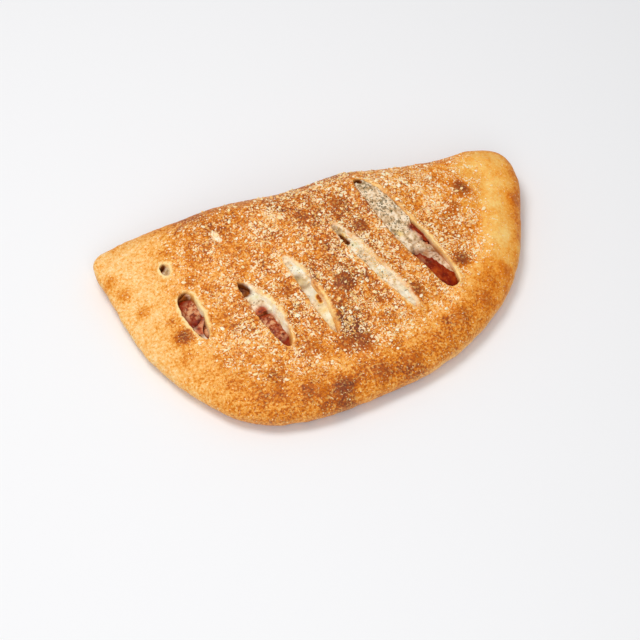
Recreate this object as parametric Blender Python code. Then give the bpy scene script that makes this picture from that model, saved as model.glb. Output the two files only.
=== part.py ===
"""A baked half-moon pepperoni roll.

A round of dough is folded over its filling, so the back is a plump straight fold and the front a curved,
sealed rim. Five slashes and two small vents open its top, and grated cheese is baked onto the crust.
X runs along the fold, Y from the sealed rim towards the fold and Z up; the flat base rests on z = 0.
Lengths and places are in millimetres, and become metres where a mesh is made.
"""

import math
from collections import namedtuple

import bmesh
import bpy
import numpy as np
from mathutils import Euler, Matrix, Vector

MM = 0.001

# ---- Driving dimensions ----
LENGTH = 233.5  # tip to tip, along the fold
DEPTH = 138.0  # sealed rim to fold
RIM_HEIGHT = 17.5  # the puffed, sealed rim
FOLD_RISE = 11.5  # how much thicker the fold is than the rim
DOME_RISE = 14.0  # how far the filling lifts the middle
TIP_DROP = 5.0  # how much thinner the left tip is
ROOF = 4.0  # dough over the filling
FLOOR = 6.0  # dough under the filling
SEAL_WIDTH = 15.0  # solid dough between the filling and the front edge
FOLD_WALL = 9.0  # dough between the filling and the fold
UNDERCUT = 6.5  # how far in from the bulging side the underside starts
SOLE_CORNERS = 10  # the flat base that the roll stands on
SOLE_INSET = 3.0  # from the rim of the underside to the corners of the base
SOLE_DROP = 0.5  # the underside rises this far from the base to its rim
GAP = 0.4  # between neighbouring pieces
SLACK = 1.7  # between the filling and the dough over it, and three times that at its pinched rim

# Outline seen from above, counter-clockwise from the left tip: the points that a smooth loop follows.
OUTLINE = (
    (-113, 38), (-110, 11), (-102, -16), (-85, -43), (-66, -65), (-32, -71), (2, -66), (32, -61), (61, -47),
    (86, -26), (101, -4), (109, 18), (119, 43), (116, 59), (105, 67), (86, 64), (66, 64), (45, 65), (28, 70),
    (8, 68), (-11, 64), (-33, 68), (-53, 69), (-69, 66), (-93, 66), (-116, 61), (-117, 51),
)
LOOP_STEPS = 1440
REACH_BLUR = 24  # steps either way that the outline's direction is averaged over
MIDDLE = np.array([0.0, 5.0])  # where the rays that measure the outline start

# Slashes and vents, each a leaf: its two ends, full width, sideways bow, the place of its widest point along
# it (0 to 1) and how blunt its ends are (small is blunt).
Slit = namedtuple("Slit", "start end width bow widest pointed")
SLITS = {
    "vent_tip": Slit((-84, 36), (-82, 28), 4.6, 0.0, 0.5, 0.5),
    "slash_1": Slit((-79, 16), (-74, -14), 9.2, 0.0, 0.38, 0.55),
    "slash_2": Slit((-51, 10), (-36, -32), 9.8, 1.2, 0.6, 0.5),
    "slash_3": Slit((-25, 14), (-12, -33), 8.4, 1.4, 0.5, 0.6),
    "slash_4": Slit((4, 24), (32, -30), 6.2, 0.0, 0.45, 0.5),
    "slash_5": Slit((25, 49), (56, -22), 14.8, 0.0, 0.58, 0.36),
}
VENT_DIMPLE = Slit((-55, 44), (-52, 34), 4.4, 0.0, 0.5, 0.6)  # torn open, but not through the dough
DIMPLE_DEPTH = 1.4
LIP_RISE = 1.1  # the dough curls up round each slash
LIP_SPREAD = 3.2

# Blisters in the crust: centre and radius.
BLISTERS = (
    (-85, -8, 5.5), (-106, 30, 4.5), (-111, 40, 4.0), (-100, 16, 4.0), (-69, 32, 5.0), (-73, 20, 4.0),
    (79, 33, 5.5), (70, 22, 4.0), (106, 25, 4.5), (18, 20, 4.5), (10, 35, 4.0), (0, -8, 5.5), (34, -21, 4.0),
    (64, -8, 5.0), (85, -17, 5.5), (52, -39, 5.5), (68, -33, 5.0), (-20, -62, 5.0), (-30, -60, 4.5),
    (3, -58, 5.0), (21, -55, 5.0), (-1, -41, 6.0), (-9, -39, 5.0), (-26, -37, 5.0), (-30, -5, 4.0),
)
BLISTER_RISE = 1.2

# Slices of pepperoni that the slashes show: centre and radius.
SLICES = {
    "pepperoni_1": (-80, 5, 9.0),
    "pepperoni_2": (-67, -9, 7.5),
    "pepperoni_3": (-43, -22, 12.0),
    "pepperoni_4": (57, 17, 12.0),
    "pepperoni_5": (46, -11, 14.0),
}
SLICE_THICKNESS = 2.0

# Hollows in the filling, at the deep dark ends of the slashes: centre and radius.
HOLLOWS = ((-78, 12, 3.5), (-49, 5, 4.0), (-83, 33, 3.0), (8, 14, 3.0), (28, 46, 3.5))
HOLLOW_DEPTH = 5.0

# Cheese that wells up into a slash: which slash, the share of its length from and to, and how far the cheese
# stays below the crust.
CHEESE = (
    ("vent_tip", 0.4, 0.88, 1.8), ("slash_1", 0.8, 0.96, 3.0), ("slash_2", 0.2, 0.54, 2.2),
    ("slash_3", 0.08, 0.96, 2.4), ("slash_4", 0.2, 0.97, 1.0), ("slash_5", 0.08, 0.8, 1.6),
)
CHEESE_GAP = 0.7  # between that cheese and the sides of the slash
CHEESE_STEP = 3.0  # length of its facets

# Grated cheese on the crust, thinning out towards the rim and both tips.
CRUMB_COUNT = 100
CRUMB_SIZES = (3.0, 1.7)  # largest and smallest
CRUMB_FIELD = ((-92, -58), (100, 62))
CRUMB_CLEARANCE = 2.6  # from a slash
CRUMB_SPACING = 0.9  # between centres, as a share of the two sizes added
SEED = 11

# ---- How finely the forms are faceted ----
UNDERCUT_SHARE = 0.4  # of the lower half's points, those on the undercut
FLOOR_SHARE = 0.8  # how far out the hollow's floor stays flat
CRUST_EDGE = 5.0  # longest edge of the crust's facets at a slash
COARSER = 2.5  # how much longer the edge may be for each millimetre away from it
REFINEMENTS = 3


# ---- The form of the roll ----
def smooth(t):
    """0 below 0, 1 above 1, and an S-curve between."""
    t = np.clip(t, 0.0, 1.0)
    return t * t * (3.0 - 2.0 * t)


def bump(distance, radius):
    """1 at the middle, falling to 0 at the radius."""
    return 1.0 - smooth(np.asarray(distance) / radius)


def smooth_loop(points):
    """Even points along the closed cubic B-spline of these points."""
    points = np.array(points, float)
    along = np.linspace(0.0, len(points), LOOP_STEPS, endpoint=False)
    first = along.astype(int)
    u = (along - first)[:, None]
    a, b, c, d = (points[(first + k) % len(points)] for k in (-1, 0, 1, 2))
    return ((1 - u) ** 3 * a + (3 * u**3 - 6 * u**2 + 4) * b
            + (-3 * u**3 + 3 * u**2 + 3 * u + 1) * c + u**3 * d) / 6


def measured_outline():
    """Angle, radius and perpendicular reach of the outline seen from MIDDLE, at even angles.

    The reach is the distance from MIDDLE to the outline's tangent, averaged a little along the outline, so
    that the sides stay smooth round the sharp tip.
    """
    loop = smooth_loop(OUTLINE)
    low, high = loop.min(axis=0), loop.max(axis=0)
    loop = (loop - (low + high) / 2) * np.array([LENGTH, DEPTH]) / (high - low) - MIDDLE
    along = np.roll(loop, -1, axis=0) - np.roll(loop, 1, axis=0)
    along /= np.linalg.norm(along, axis=1)[:, None]
    found = np.arctan2(loop[:, 1], loop[:, 0])
    order = np.argsort(found)
    angle = np.linspace(-math.pi, math.pi, LOOP_STEPS, endpoint=False)
    radius = np.interp(angle, found[order], np.linalg.norm(loop, axis=1)[order], period=2 * math.pi)
    reach = np.abs(loop[:, 0] * along[:, 1] - loop[:, 1] * along[:, 0])[order]
    reach = np.interp(angle, found[order], reach, period=2 * math.pi)
    return angle, radius, np.mean([np.roll(reach, k) for k in range(-REACH_BLUR, REACH_BLUR + 1)], axis=0)


EDGE_ANGLE, EDGE_RADIUS, EDGE_REACH = measured_outline()


def even_turns():
    """For each outline angle, the turn from -pi to pi that shares the outline's length out evenly."""
    x, y = EDGE_RADIUS * np.cos(EDGE_ANGLE), EDGE_RADIUS * np.sin(EDGE_ANGLE)
    step = np.hypot(np.roll(x, -1) - x, np.roll(y, -1) - y)
    return -math.pi + 2 * math.pi * np.concatenate([[0.0], np.cumsum(step)[:-1]]) / step.sum()


EDGE_TURN = even_turns()


def outline_angle(unit):
    """Angle about MIDDLE for points of the unit ball, spaced evenly along the outline."""
    turn = np.arctan2(unit[:, 1], unit[:, 0])
    return np.interp(turn, np.append(EDGE_TURN, math.pi), np.append(EDGE_ANGLE, math.pi))


def edge_radius(angle):
    return np.interp(angle, EDGE_ANGLE, EDGE_RADIUS, period=2 * math.pi)


def edge_reach(angle):
    return np.interp(angle, EDGE_ANGLE, EDGE_REACH, period=2 * math.pi)


def fold_share(angle):
    """0 on the sealed rim and 1 on the fold."""
    return smooth((np.sin(angle) + 0.1) / 0.9)


def polar(x, y):
    """Angle about MIDDLE, and the distance in from the edge."""
    dx, dy = x - MIDDLE[0], y - MIDDLE[1]
    angle = np.arctan2(dy, dx)
    return angle, (1.0 - np.hypot(dx, dy) / edge_radius(angle)) * edge_reach(angle)


def widest_height(angle):
    """Height of the line along which the side bulges out most."""
    return 7.5 + 6.5 * fold_share(angle)


def pillow_height(x, y):
    """The rim, thicker along the fold and thinner at both tips, with the dome of the filling on it."""
    fold = FOLD_RISE * smooth((y - 3.0) / 50.0)
    fold = fold * (1.0 - 0.6 * smooth((-x - 55.0) / 50.0) - 0.4 * smooth((x - 65.0) / 45.0))
    tip = TIP_DROP * smooth((-x - 72.0) / 42.0)
    dome = bump(np.hypot((x - 2.0) / 104.0, (y - 15.0) / 66.0), 1.0)
    return RIM_HEIGHT + fold - tip + DOME_RISE * dome**0.7


def plain_top(x, y):
    """Height of the crust without its relief: the pillow, rounded off towards the edge."""
    angle, inward = polar(x, y)
    rounding = 17.0 + 6.0 * fold_share(angle)
    side = widest_height(angle)
    out = 1.0 - np.clip(inward / rounding, 0.0, 1.0)
    return side + (pillow_height(x, y) - side) * np.sqrt(1.0 - out * out)


def leaf_width(slit, t):
    """Half the slit's width at t, from 0 at its start to 1 at its end."""
    t = np.clip(t, 0.0, 1.0) ** (math.log(0.5) / math.log(slit.widest))
    return slit.width / 2 * (4.0 * t * (1.0 - t)) ** slit.pointed


def leaf_frame(slit):
    """The slit's start, its unit direction, the unit vector to its right and its length."""
    start, end = np.array(slit.start, float), np.array(slit.end, float)
    length = np.linalg.norm(end - start)
    ahead = (end - start) / length
    return start, ahead, np.array([-ahead[1], ahead[0]]), length


def leaf_distance(slit, x, y):
    """How far outside the slit's edge a place lies; below 0 inside it."""
    start, ahead, right, length = leaf_frame(slit)
    t = ((x - start[0]) * ahead[0] + (y - start[1]) * ahead[1]) / length
    inner = np.clip(t, 0.0, 1.0)
    across = (x - start[0]) * right[0] + (y - start[1]) * right[1] - slit.bow * 4.0 * inner * (1.0 - inner)
    beside = np.abs(across) - leaf_width(slit, t)
    beyond = np.maximum(-t, t - 1.0) * length
    return np.where(beyond > 0.0, np.hypot(np.maximum(beside, 0.0), beyond), np.maximum(beside, beyond))


def slit_distance(x, y):
    """Distance to the nearest opening."""
    return np.min([leaf_distance(slit, x, y) for slit in SLITS.values()], axis=0)


def crust_top(x, y):
    """Height of the crust with its curled lips, blisters, dimple, the crease along the seal and lumps."""
    angle, inward = polar(x, y)
    flat = smooth(inward / 16.0)
    height = plain_top(x, y)
    height = height + LIP_RISE * flat * np.exp(-(np.maximum(slit_distance(x, y), 0.0) / LIP_SPREAD) ** 2)
    for bx, by, radius in BLISTERS:
        height = height + BLISTER_RISE * smooth(inward / 6.0) * bump(np.hypot(x - bx, y - by), radius * 1.3)
    height = height - DIMPLE_DEPTH * bump(np.maximum(leaf_distance(VENT_DIMPLE, x, y), 0.0), 2.5)
    crease = np.exp(-(((inward - 25.0) / 6.0) ** 2)) * (1.0 - fold_share(angle))
    lumps = np.sin(x / 11.0 + 1.3) * np.sin(y / 9.0 - 0.6) + 0.7 * np.sin(x / 6.1 - y / 7.3)
    return height + flat * (0.45 * lumps - 1.0 * crease)


def pocket_radius(angle, slack=0.0):
    """How far from MIDDLE the hollow for the filling reaches, with three times the slack at its pinched rim."""
    edge = edge_radius(angle)
    wall = SEAL_WIDTH + (FOLD_WALL - SEAL_WIDTH) * fold_share(angle)
    return edge * (1.0 - (wall + 3.0 * slack) / edge_reach(angle))


def pocket_waist(angle):
    """Height at which the hollow reaches furthest out."""
    return 11.0 + 4.0 * fold_share(angle)


def ceiling(x, y, slack=0.0):
    """Underside of the dough over the filling, closing down towards the rim of the hollow."""
    angle = polar(x, y)[0]
    out = np.hypot(x - MIDDLE[0], y - MIDDLE[1]) / pocket_radius(angle, slack)
    waist = pocket_waist(angle)
    return waist + (plain_top(x, y) - ROOF - slack - waist) * np.sqrt(1.0 - np.clip(out, 0.0, 1.0) ** 6)


# ---- Meshes from primitives ----
def material(name, colour, roughness):
    surface = bpy.data.materials.new(name)
    surface.use_nodes = True
    shader = surface.node_tree.nodes["Principled BSDF"]
    shader.inputs["Base Color"].default_value = (*colour, 1.0)
    shader.inputs["Roughness"].default_value = roughness
    shader.inputs["Metallic"].default_value = 0.0
    surface.diffuse_color = (*colour, 1.0)
    return surface


def object_from(bm, name, collection):
    """An object of this bmesh, whose points are in millimetres, facing outwards."""
    bmesh.ops.triangulate(bm, faces=[face for face in bm.faces if len(face.verts) > 4])
    bmesh.ops.recalc_face_normals(bm, faces=bm.faces[:])
    bmesh.ops.scale(bm, vec=Vector((MM, MM, MM)), verts=bm.verts[:])
    mesh = bpy.data.meshes.new(name)
    bm.to_mesh(mesh)
    bm.free()
    obj = bpy.data.objects.new(name, mesh)
    collection.objects.link(obj)
    return obj


def moved(bm, place):
    """Moves every point of the bmesh to place(its points as an array)."""
    points = place(np.array([vert.co[:] for vert in bm.verts]))
    for vert, point in zip(bm.verts, points):
        vert.co = point


def ball(subdivisions):
    bm = bmesh.new()
    bmesh.ops.create_icosphere(bm, subdivisions=subdivisions, radius=1.0)
    return bm


def refined(bm, place, longest):
    """Splits the edges of the unit ball's upper half that land longer than longest(x, y) allows there."""
    for _ in range(REFINEMENTS):
        bm.verts.index_update()
        unit = np.array([vert.co[:] for vert in bm.verts])
        spots = place(unit)
        ends = np.array([[vert.index for vert in edge.verts] for edge in bm.edges])
        middle = spots[ends].mean(axis=1)
        length = np.linalg.norm(spots[ends[:, 0], :2] - spots[ends[:, 1], :2], axis=1)
        split = (length > longest(middle[:, 0], middle[:, 1])) & (unit[ends, 2].min(axis=1) > 0.0)
        edges = [edge for edge, chosen in zip(bm.edges, split) if chosen]
        bmesh.ops.subdivide_edges(bm, edges=edges, cuts=1)
        bmesh.ops.triangulate(bm, faces=bm.faces[:])
        for vert in bm.verts:
            vert.co.normalize()


def flattened(bm, height):
    """Makes one face of all the faces that lie at this height."""
    level = {vert for vert in bm.verts if abs(vert.co.z - height) < 1e-3}
    for vert in level:
        vert.co.z = height
    bm.normal_update()
    edges = [edge for edge in bm.edges if level.issuperset(edge.verts)]
    bmesh.ops.dissolve_limit(bm, angle_limit=math.radians(1), verts=list(level), edges=edges)


def crust_point(unit):
    """Places points of the unit ball on the crust: its upper half on top, its lower half on side and base."""
    angle = outline_angle(unit)
    flat = np.hypot(unit[:, 0], unit[:, 1])
    up = unit[:, 2] >= -1e-9
    down = np.arctan2(np.maximum(-unit[:, 2], 0.0), flat) / (math.pi / 2)
    turn = np.clip(down / UNDERCUT_SHARE, 0.0, 1.0) * math.pi / 2
    base = np.clip((down - UNDERCUT_SHARE) / (1.0 - UNDERCUT_SHARE), 0.0, 1.0)
    edge = edge_radius(angle)
    inset = UNDERCUT * edge / edge_reach(angle) * (1.0 - np.cos(turn))
    radius = np.where(up, edge * flat, (edge - inset) * (1.0 - base))
    x, y = MIDDLE[0] + radius * np.cos(angle), MIDDLE[1] + radius * np.sin(angle)
    low = SOLE_DROP + (widest_height(angle) - SOLE_DROP) * (1.0 - np.sin(turn))
    low = np.where(down >= UNDERCUT_SHARE, SOLE_DROP, low)
    return np.stack([x, y, np.where(up, crust_top(x, y), low)], axis=1)


def lowered_sole(bm):
    """Replaces the level underside by a flat base with few corners, and slopes up from it to the rim."""
    level = [face for face in bm.faces if all(abs(vert.co.z - SOLE_DROP) < 1e-3 for vert in face.verts)]
    bmesh.ops.delete(bm, geom=level, context="FACES")
    rim = [edge for edge in bm.edges if len(edge.link_faces) == 1]
    turn = np.arange(SOLE_CORNERS) * 2 * math.pi / SOLE_CORNERS
    angle = outline_angle(np.stack([np.cos(turn), np.sin(turn)], axis=1))
    radius = edge_radius(angle) * (1.0 - (UNDERCUT + SOLE_INSET) / edge_reach(angle))
    x, y = MIDDLE[0] + radius * np.cos(angle), MIDDLE[1] + radius * np.sin(angle)
    corners = [bm.verts.new((px, py, 0.0)) for px, py in zip(x, y)]
    sole = bm.faces.new(corners)
    bmesh.ops.bridge_loops(bm, edges=rim + sole.edges[:])


def pocket_point(unit, gap, slack):
    """Places points of the unit ball on the hollow in the dough, drawn in by slack, and by the gap below."""
    angle = outline_angle(unit)
    flat = np.minimum(np.hypot(unit[:, 0], unit[:, 1]), 1.0)
    radius = pocket_radius(angle, slack) * flat
    x, y = MIDDLE[0] + radius * np.cos(angle), MIDDLE[1] + radius * np.sin(angle)
    waist = pocket_waist(angle)
    pinch = np.clip(flat / FLOOR_SHARE - 1.0, 0.0, None) * FLOOR_SHARE / (1.0 - FLOOR_SHARE)
    below = waist - (waist - FLOOR - gap) * np.sqrt(1.0 - np.minimum(pinch, 1.0) ** 2)
    return np.stack([x, y, np.where(unit[:, 2] >= 0.0, ceiling(x, y, slack), below)], axis=1)


def filling_point(unit):
    """The body of the filling: the hollow in the dough, a little smaller, with a lumpy top."""
    points = pocket_point(unit, GAP, SLACK)
    x, y = points[:, 0], points[:, 1]
    rise = 0.4 * np.sin(x / 3.1) * np.sin(y / 2.7 + 0.9) - 0.6
    for hx, hy, radius in HOLLOWS:
        rise = rise - HOLLOW_DEPTH * bump(np.hypot(x - hx, y - hy), radius)
    points[:, 2] += np.where(unit[:, 2] > 0.3, rise, 0.0)
    return points


def leaf_block(slit, span, grow, segments, top, bottom, name, collection):
    """A block over part of the leaf of a slit, grown sideways.

    The span is the share of the leaf's length from and to. The heights of its top and bottom are functions
    of x, y, and the place along and across the block from -1 to 1.
    """
    start, ahead, right, length = leaf_frame(slit)
    bm = bmesh.new()
    bmesh.ops.create_grid(bm, x_segments=segments[0], y_segments=segments[1], size=1.0)
    bmesh.ops.duplicate(bm, geom=bm.verts[:] + bm.edges[:] + bm.faces[:])
    low = np.arange(len(bm.verts)) >= len(bm.verts) // 2

    def place(unit):
        along, across = unit[:, 0], unit[:, 1]
        t = span[0] + (span[1] - span[0]) * (0.5 + 0.49 * np.sin(along * math.pi / 2))
        side = slit.bow * 4.0 * t * (1.0 - t) + np.maximum(leaf_width(slit, t) + grow, 0.1) * across
        x = start[0] + ahead[0] * length * t + right[0] * side
        y = start[1] + ahead[1] * length * t + right[1] * side
        return np.stack([x, y, np.where(low, bottom(x, y, along, across), top(x, y, along, across))], axis=1)

    moved(bm, place)
    rims = [edge for edge in bm.edges if len(edge.link_faces) == 1]
    bmesh.ops.bridge_loops(bm, edges=rims)
    return object_from(bm, name, collection)


def cheese_mound(slit, first, last, depth, name, collection):
    """Cheese in a slash, rounded at its ends and lumpy, pressed down where a slice of pepperoni lies."""
    def top(x, y, along, across):
        bare = 1.0
        for sx, sy, radius in SLICES.values():
            bare = bare * smooth((np.hypot(x - sx, y - sy) - radius) / 2.0)
        height = crust_top(x, y) - depth - 2.0 * along**6 - 0.8 * across**2
        height = height + 0.35 * np.sin(x / 1.3 + y / 2.1) * np.sin(y / 1.7)
        low = ceiling(x, y) - GAP - SLICE_THICKNESS
        return low + bare * (height - low)

    length = leaf_frame(slit)[3] * (last - first)
    segments = (2 + round(length / CHEESE_STEP), 3)
    leaf_block(slit, (first, last), -CHEESE_GAP, segments, top, lambda x, y, *_: ceiling(x, y) - 5.0, name,
               collection)


def slice_object(name, place, grow, collection):
    """A round slice with a rounded rim, draped under the dough; grown on every side for its own recess."""
    cx, cy, radius = place
    bm = bmesh.new()
    bmesh.ops.create_uvsphere(bm, u_segments=16, v_segments=6, radius=1.0)

    def drape(unit):
        x, y = cx + (radius + grow) * unit[:, 0], cy + (radius + grow) * unit[:, 1]
        thick = (SLICE_THICKNESS / 2 + grow) * np.sign(unit[:, 2]) * np.abs(unit[:, 2]) ** 0.4
        return np.stack([x, y, ceiling(x, y) - GAP - SLICE_THICKNESS / 2 + thick], axis=1)

    moved(bm, drape)
    return object_from(bm, name, collection)


def crumb_places(random):
    """Spread places for the grated cheese, largest crumbs first: x, y and size."""
    places = []
    while len(places) < CRUMB_COUNT:
        size = CRUMB_SIZES[0] + (CRUMB_SIZES[1] - CRUMB_SIZES[0]) * len(places) / CRUMB_COUNT
        x, y = random.uniform(*CRUMB_FIELD)
        angle, inward = polar(x, y)
        wanted = smooth((inward - 14.0 + 7.0 * fold_share(angle)) / 12.0)
        wanted = wanted * smooth((x - CRUMB_FIELD[0][0]) / 30.0) * smooth((CRUMB_FIELD[1][0] - x) / 18.0)
        if random.random() > wanted or slit_distance(x, y) < CRUMB_CLEARANCE:
            continue
        if all(math.hypot(x - px, y - py) > CRUMB_SPACING * (size + other) for px, py, other in places):
            places.append((x, y, size))
    return places


def crumbs(collection):
    """Grated cheese: small uneven chips, sunk a little into the crust."""
    random = np.random.default_rng(SEED)
    for number, (x, y, size) in enumerate(crumb_places(random)):
        bm = bmesh.new()
        bmesh.ops.create_cube(bm, size=size * 0.7)
        turn = Euler(random.uniform(0, 2 * math.pi, 3)).to_matrix()
        for vert in bm.verts:
            vert.co = turn @ (vert.co * Vector(random.uniform(0.7, 1.3, 3)))
        bmesh.ops.translate(bm, vec=Vector((x, y, float(crust_top(x, y)))), verts=bm.verts[:])
        object_from(bm, f"crumb_{number}", collection)


# ---- Joining and cutting ----
def combined(obj, operation, collection):
    """Cuts or joins everything in the collection, applies it and removes the collection."""
    boolean = obj.modifiers.new(operation, "BOOLEAN")
    boolean.operation = operation
    boolean.operand_type = "COLLECTION"
    boolean.collection = collection
    boolean.solver = "EXACT"
    done = obj.evaluated_get(bpy.context.evaluated_depsgraph_get())
    mesh = bpy.data.meshes.new_from_object(done)
    obj.modifiers.clear()
    obj.data = mesh
    for used in collection.objects[:]:
        bpy.data.objects.remove(used, do_unlink=True)
    bpy.data.collections.remove(collection)


def helper_collection(name):
    collection = bpy.data.collections.new(name)
    bpy.context.scene.collection.children.link(collection)
    return collection


def make_crust(roll):
    bm = ball(5)
    refined(bm, crust_point, lambda x, y: CRUST_EDGE + COARSER * np.maximum(slit_distance(x, y) - 1.5, 0.0))
    moved(bm, crust_point)
    lowered_sole(bm)
    crust = object_from(bm, "crust", roll)

    cutters = helper_collection("cutters")
    pocket = ball(4)
    moved(pocket, lambda unit: pocket_point(unit, 0.0, 0.0))
    flattened(pocket, FLOOR)
    object_from(pocket, "pocket", cutters)
    for name, slit in SLITS.items():
        leaf_block(slit, (0.0, 1.0), 0.0, (14, 2), lambda x, y, *_: crust_top(x, y) + 4.0,
                   lambda x, y, *_: ceiling(x, y) - 2.0, name, cutters)
    combined(crust, "DIFFERENCE", cutters)

    cheese = helper_collection("grated cheese")
    crumbs(cheese)
    combined(crust, "UNION", cheese)
    return crust


def make_filling(roll):
    bm = ball(4)
    moved(bm, filling_point)
    flattened(bm, FLOOR + GAP)
    filling = object_from(bm, "filling", roll)

    mounds = helper_collection("cheese in the slashes")
    for number, (name, first, last, depth) in enumerate(CHEESE):
        cheese_mound(SLITS[name], first, last, depth, f"mound_{number}", mounds)
    combined(filling, "UNION", mounds)

    recesses = helper_collection("recesses")
    for name, place in SLICES.items():
        slice_object(name + "_recess", place, GAP, recesses)
    combined(filling, "DIFFERENCE", recesses)
    return filling


def finish(obj, surface):
    obj.data.materials.clear()
    obj.data.materials.append(surface)
    obj.data.shade_smooth()
    obj.data.set_sharp_from_angle(angle=math.radians(50))


def main():
    for obj in bpy.data.objects[:]:
        bpy.data.objects.remove(obj, do_unlink=True)
    roll = bpy.data.collections.new("pepperoni roll")
    bpy.context.scene.collection.children.link(roll)

    finish(make_crust(roll), material("baked crust", (0.58, 0.26, 0.07), 0.55))
    finish(make_filling(roll), material("cheese filling", (0.72, 0.64, 0.48), 0.5))
    meat = material("pepperoni", (0.36, 0.05, 0.02), 0.35)
    for name, place in SLICES.items():
        finish(slice_object(name, place, 0.0, roll), meat)

    corners = np.array([corner[:] for corner in bpy.data.objects["crust"].bound_box])
    middle = (corners.min(axis=0) + corners.max(axis=0)) / 2
    for obj in roll.objects:
        obj.data.transform(Matrix.Translation((-middle[0], -middle[1], 0.0)))


main()
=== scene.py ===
# %% [markdown]
# # A baked pepperoni roll
#
# A round of dough is folded in half over ricotta, melted cheese and slices of pepperoni. Its curved front is
# pinched shut, its top is slashed so that steam can leave, and grated cheese bakes onto the crust. The solids
# that carry the roll are loaded first: they give its size and its place, and every surface made below takes
# the place of one of them, or lies on it.

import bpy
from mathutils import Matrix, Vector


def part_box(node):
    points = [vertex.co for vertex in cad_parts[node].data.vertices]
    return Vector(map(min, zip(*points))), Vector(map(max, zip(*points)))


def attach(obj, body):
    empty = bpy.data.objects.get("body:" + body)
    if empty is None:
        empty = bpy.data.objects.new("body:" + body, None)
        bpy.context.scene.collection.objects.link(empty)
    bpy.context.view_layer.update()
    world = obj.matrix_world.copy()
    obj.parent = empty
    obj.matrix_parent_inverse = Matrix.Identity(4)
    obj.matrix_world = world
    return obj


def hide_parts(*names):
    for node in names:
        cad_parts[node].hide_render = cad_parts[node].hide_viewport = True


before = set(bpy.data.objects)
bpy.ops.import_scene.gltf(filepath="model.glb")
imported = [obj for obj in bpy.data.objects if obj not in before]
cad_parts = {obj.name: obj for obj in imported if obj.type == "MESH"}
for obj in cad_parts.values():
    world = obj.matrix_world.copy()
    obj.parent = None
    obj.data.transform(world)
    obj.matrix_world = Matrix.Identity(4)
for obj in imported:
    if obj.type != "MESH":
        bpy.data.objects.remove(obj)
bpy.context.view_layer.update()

# %% [markdown]
# ## The form of the roll
#
# A learner can think of the roll as a pillow. Pulling a cube into shape would give it once, at one fineness.
# Here one closed curve is its outline from above, and one function gives the height of its top at every
# place. With both in hand, any fineness of mesh can be made from them. X runs along the fold and Y from the
# sealed rim to the fold. All numbers are in millimetres, and become metres only when a mesh is made.

# %% Modules, a soft step and bumps
import itertools
import math
from collections import namedtuple

import bmesh
import bpy
import numpy as np
from mathutils import Vector

MM = 0.001


def smooth(t):
    """0 below 0, 1 above 1, and the S-curve 3t^2 - 2t^3 between."""
    t = np.clip(t, 0.0, 1.0)
    return t * t * (3.0 - 2.0 * t)


def bump(distance, radius):
    """1 at the middle, falling to 0 at the radius: 1 less the S-curve of distance over radius."""
    return 1.0 - smooth(np.asarray(distance) / radius)


def round_bump(x, y, place_x, place_y, radius):
    """A bump of the distance to a place."""
    return bump(np.hypot(x - place_x, y - place_y), radius)


def oval_bump(x, y, place_x, place_y, half_length, half_depth):
    """A bump over an oval: 1 at its place, falling to 0 at its edge."""
    return bump(np.hypot((x - place_x) / half_length, (y - place_y) / half_depth), 1.0)


print("halfway down a bump:", bump(0.5, 1.0))

# %% [markdown]
# The outline is a smooth closed curve that follows a few points, the way a loose thread follows pins: a cubic
# B-spline. A half circle would be simpler, but the real fold is a little wavy and the two tips differ. The
# back is the almost straight fold, and the front the curved, sealed rim.

# %% The outline from above
LENGTH = 233.5  # tip to tip, along the fold
DEPTH = 138.0  # sealed rim to fold
MIDDLE = np.array([0.0, 5.0])  # where the rays that measure the outline start
LOOP_STEPS = 1440  # points along the outline
REACH_BLUR = 24  # the reach is evened out over this many of them on both sides
OUTLINE = (
    (-113, 38), (-110, 11), (-102, -16), (-85, -43), (-66, -65), (-32, -71), (2, -66), (32, -61), (61, -47),
    (86, -26), (101, -4), (109, 18), (119, 43), (116, 59), (105, 67), (86, 64), (66, 64), (45, 65), (28, 70),
    (8, 68), (-11, 64), (-33, 68), (-53, 69), (-69, 66), (-93, 66), (-116, 61), (-117, 51),
)


def smooth_loop(points):
    """Even points along the closed cubic B-spline of these points."""
    points = np.array(points, float)
    along = np.linspace(0.0, len(points), LOOP_STEPS, endpoint=False)
    first = along.astype(int)
    u = (along - first)[:, None]
    a, b, c, d = (points[(first + k) % len(points)] for k in (-1, 0, 1, 2))
    return ((1 - u) ** 3 * a + (3 * u**3 - 6 * u**2 + 4) * b
            + (-3 * u**3 + 3 * u**2 + 3 * u + 1) * c + u**3 * d) / 6


def measured_outline():
    """Angle, radius and perpendicular reach of the outline seen from MIDDLE, at even angles."""
    loop = smooth_loop(OUTLINE)
    low, high = loop.min(axis=0), loop.max(axis=0)
    loop = (loop - (low + high) / 2) * np.array([LENGTH, DEPTH]) / (high - low) - MIDDLE
    along = np.roll(loop, -1, axis=0) - np.roll(loop, 1, axis=0)
    along /= np.linalg.norm(along, axis=1)[:, None]
    found = np.arctan2(loop[:, 1], loop[:, 0])
    order = np.argsort(found)
    angle = np.linspace(-math.pi, math.pi, LOOP_STEPS, endpoint=False)
    radius = np.interp(angle, found[order], np.linalg.norm(loop, axis=1)[order], period=2 * math.pi)
    reach = np.abs(loop[:, 0] * along[:, 1] - loop[:, 1] * along[:, 0])[order]
    reach = np.interp(angle, found[order], reach, period=2 * math.pi)
    return angle, radius, np.mean([np.roll(reach, k) for k in range(-REACH_BLUR, REACH_BLUR + 1)], axis=0)


EDGE_ANGLE, EDGE_RADIUS, EDGE_REACH = measured_outline()
print("outline reaches", EDGE_RADIUS.min().round(1), "to", EDGE_RADIUS.max().round(1), "mm from the middle")

# %% [markdown]
# Later a ball is wrapped onto this outline. Its rays are turned a little, so that they share the length of
# the outline out evenly, and two small functions look the outline up at any angle.

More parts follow.
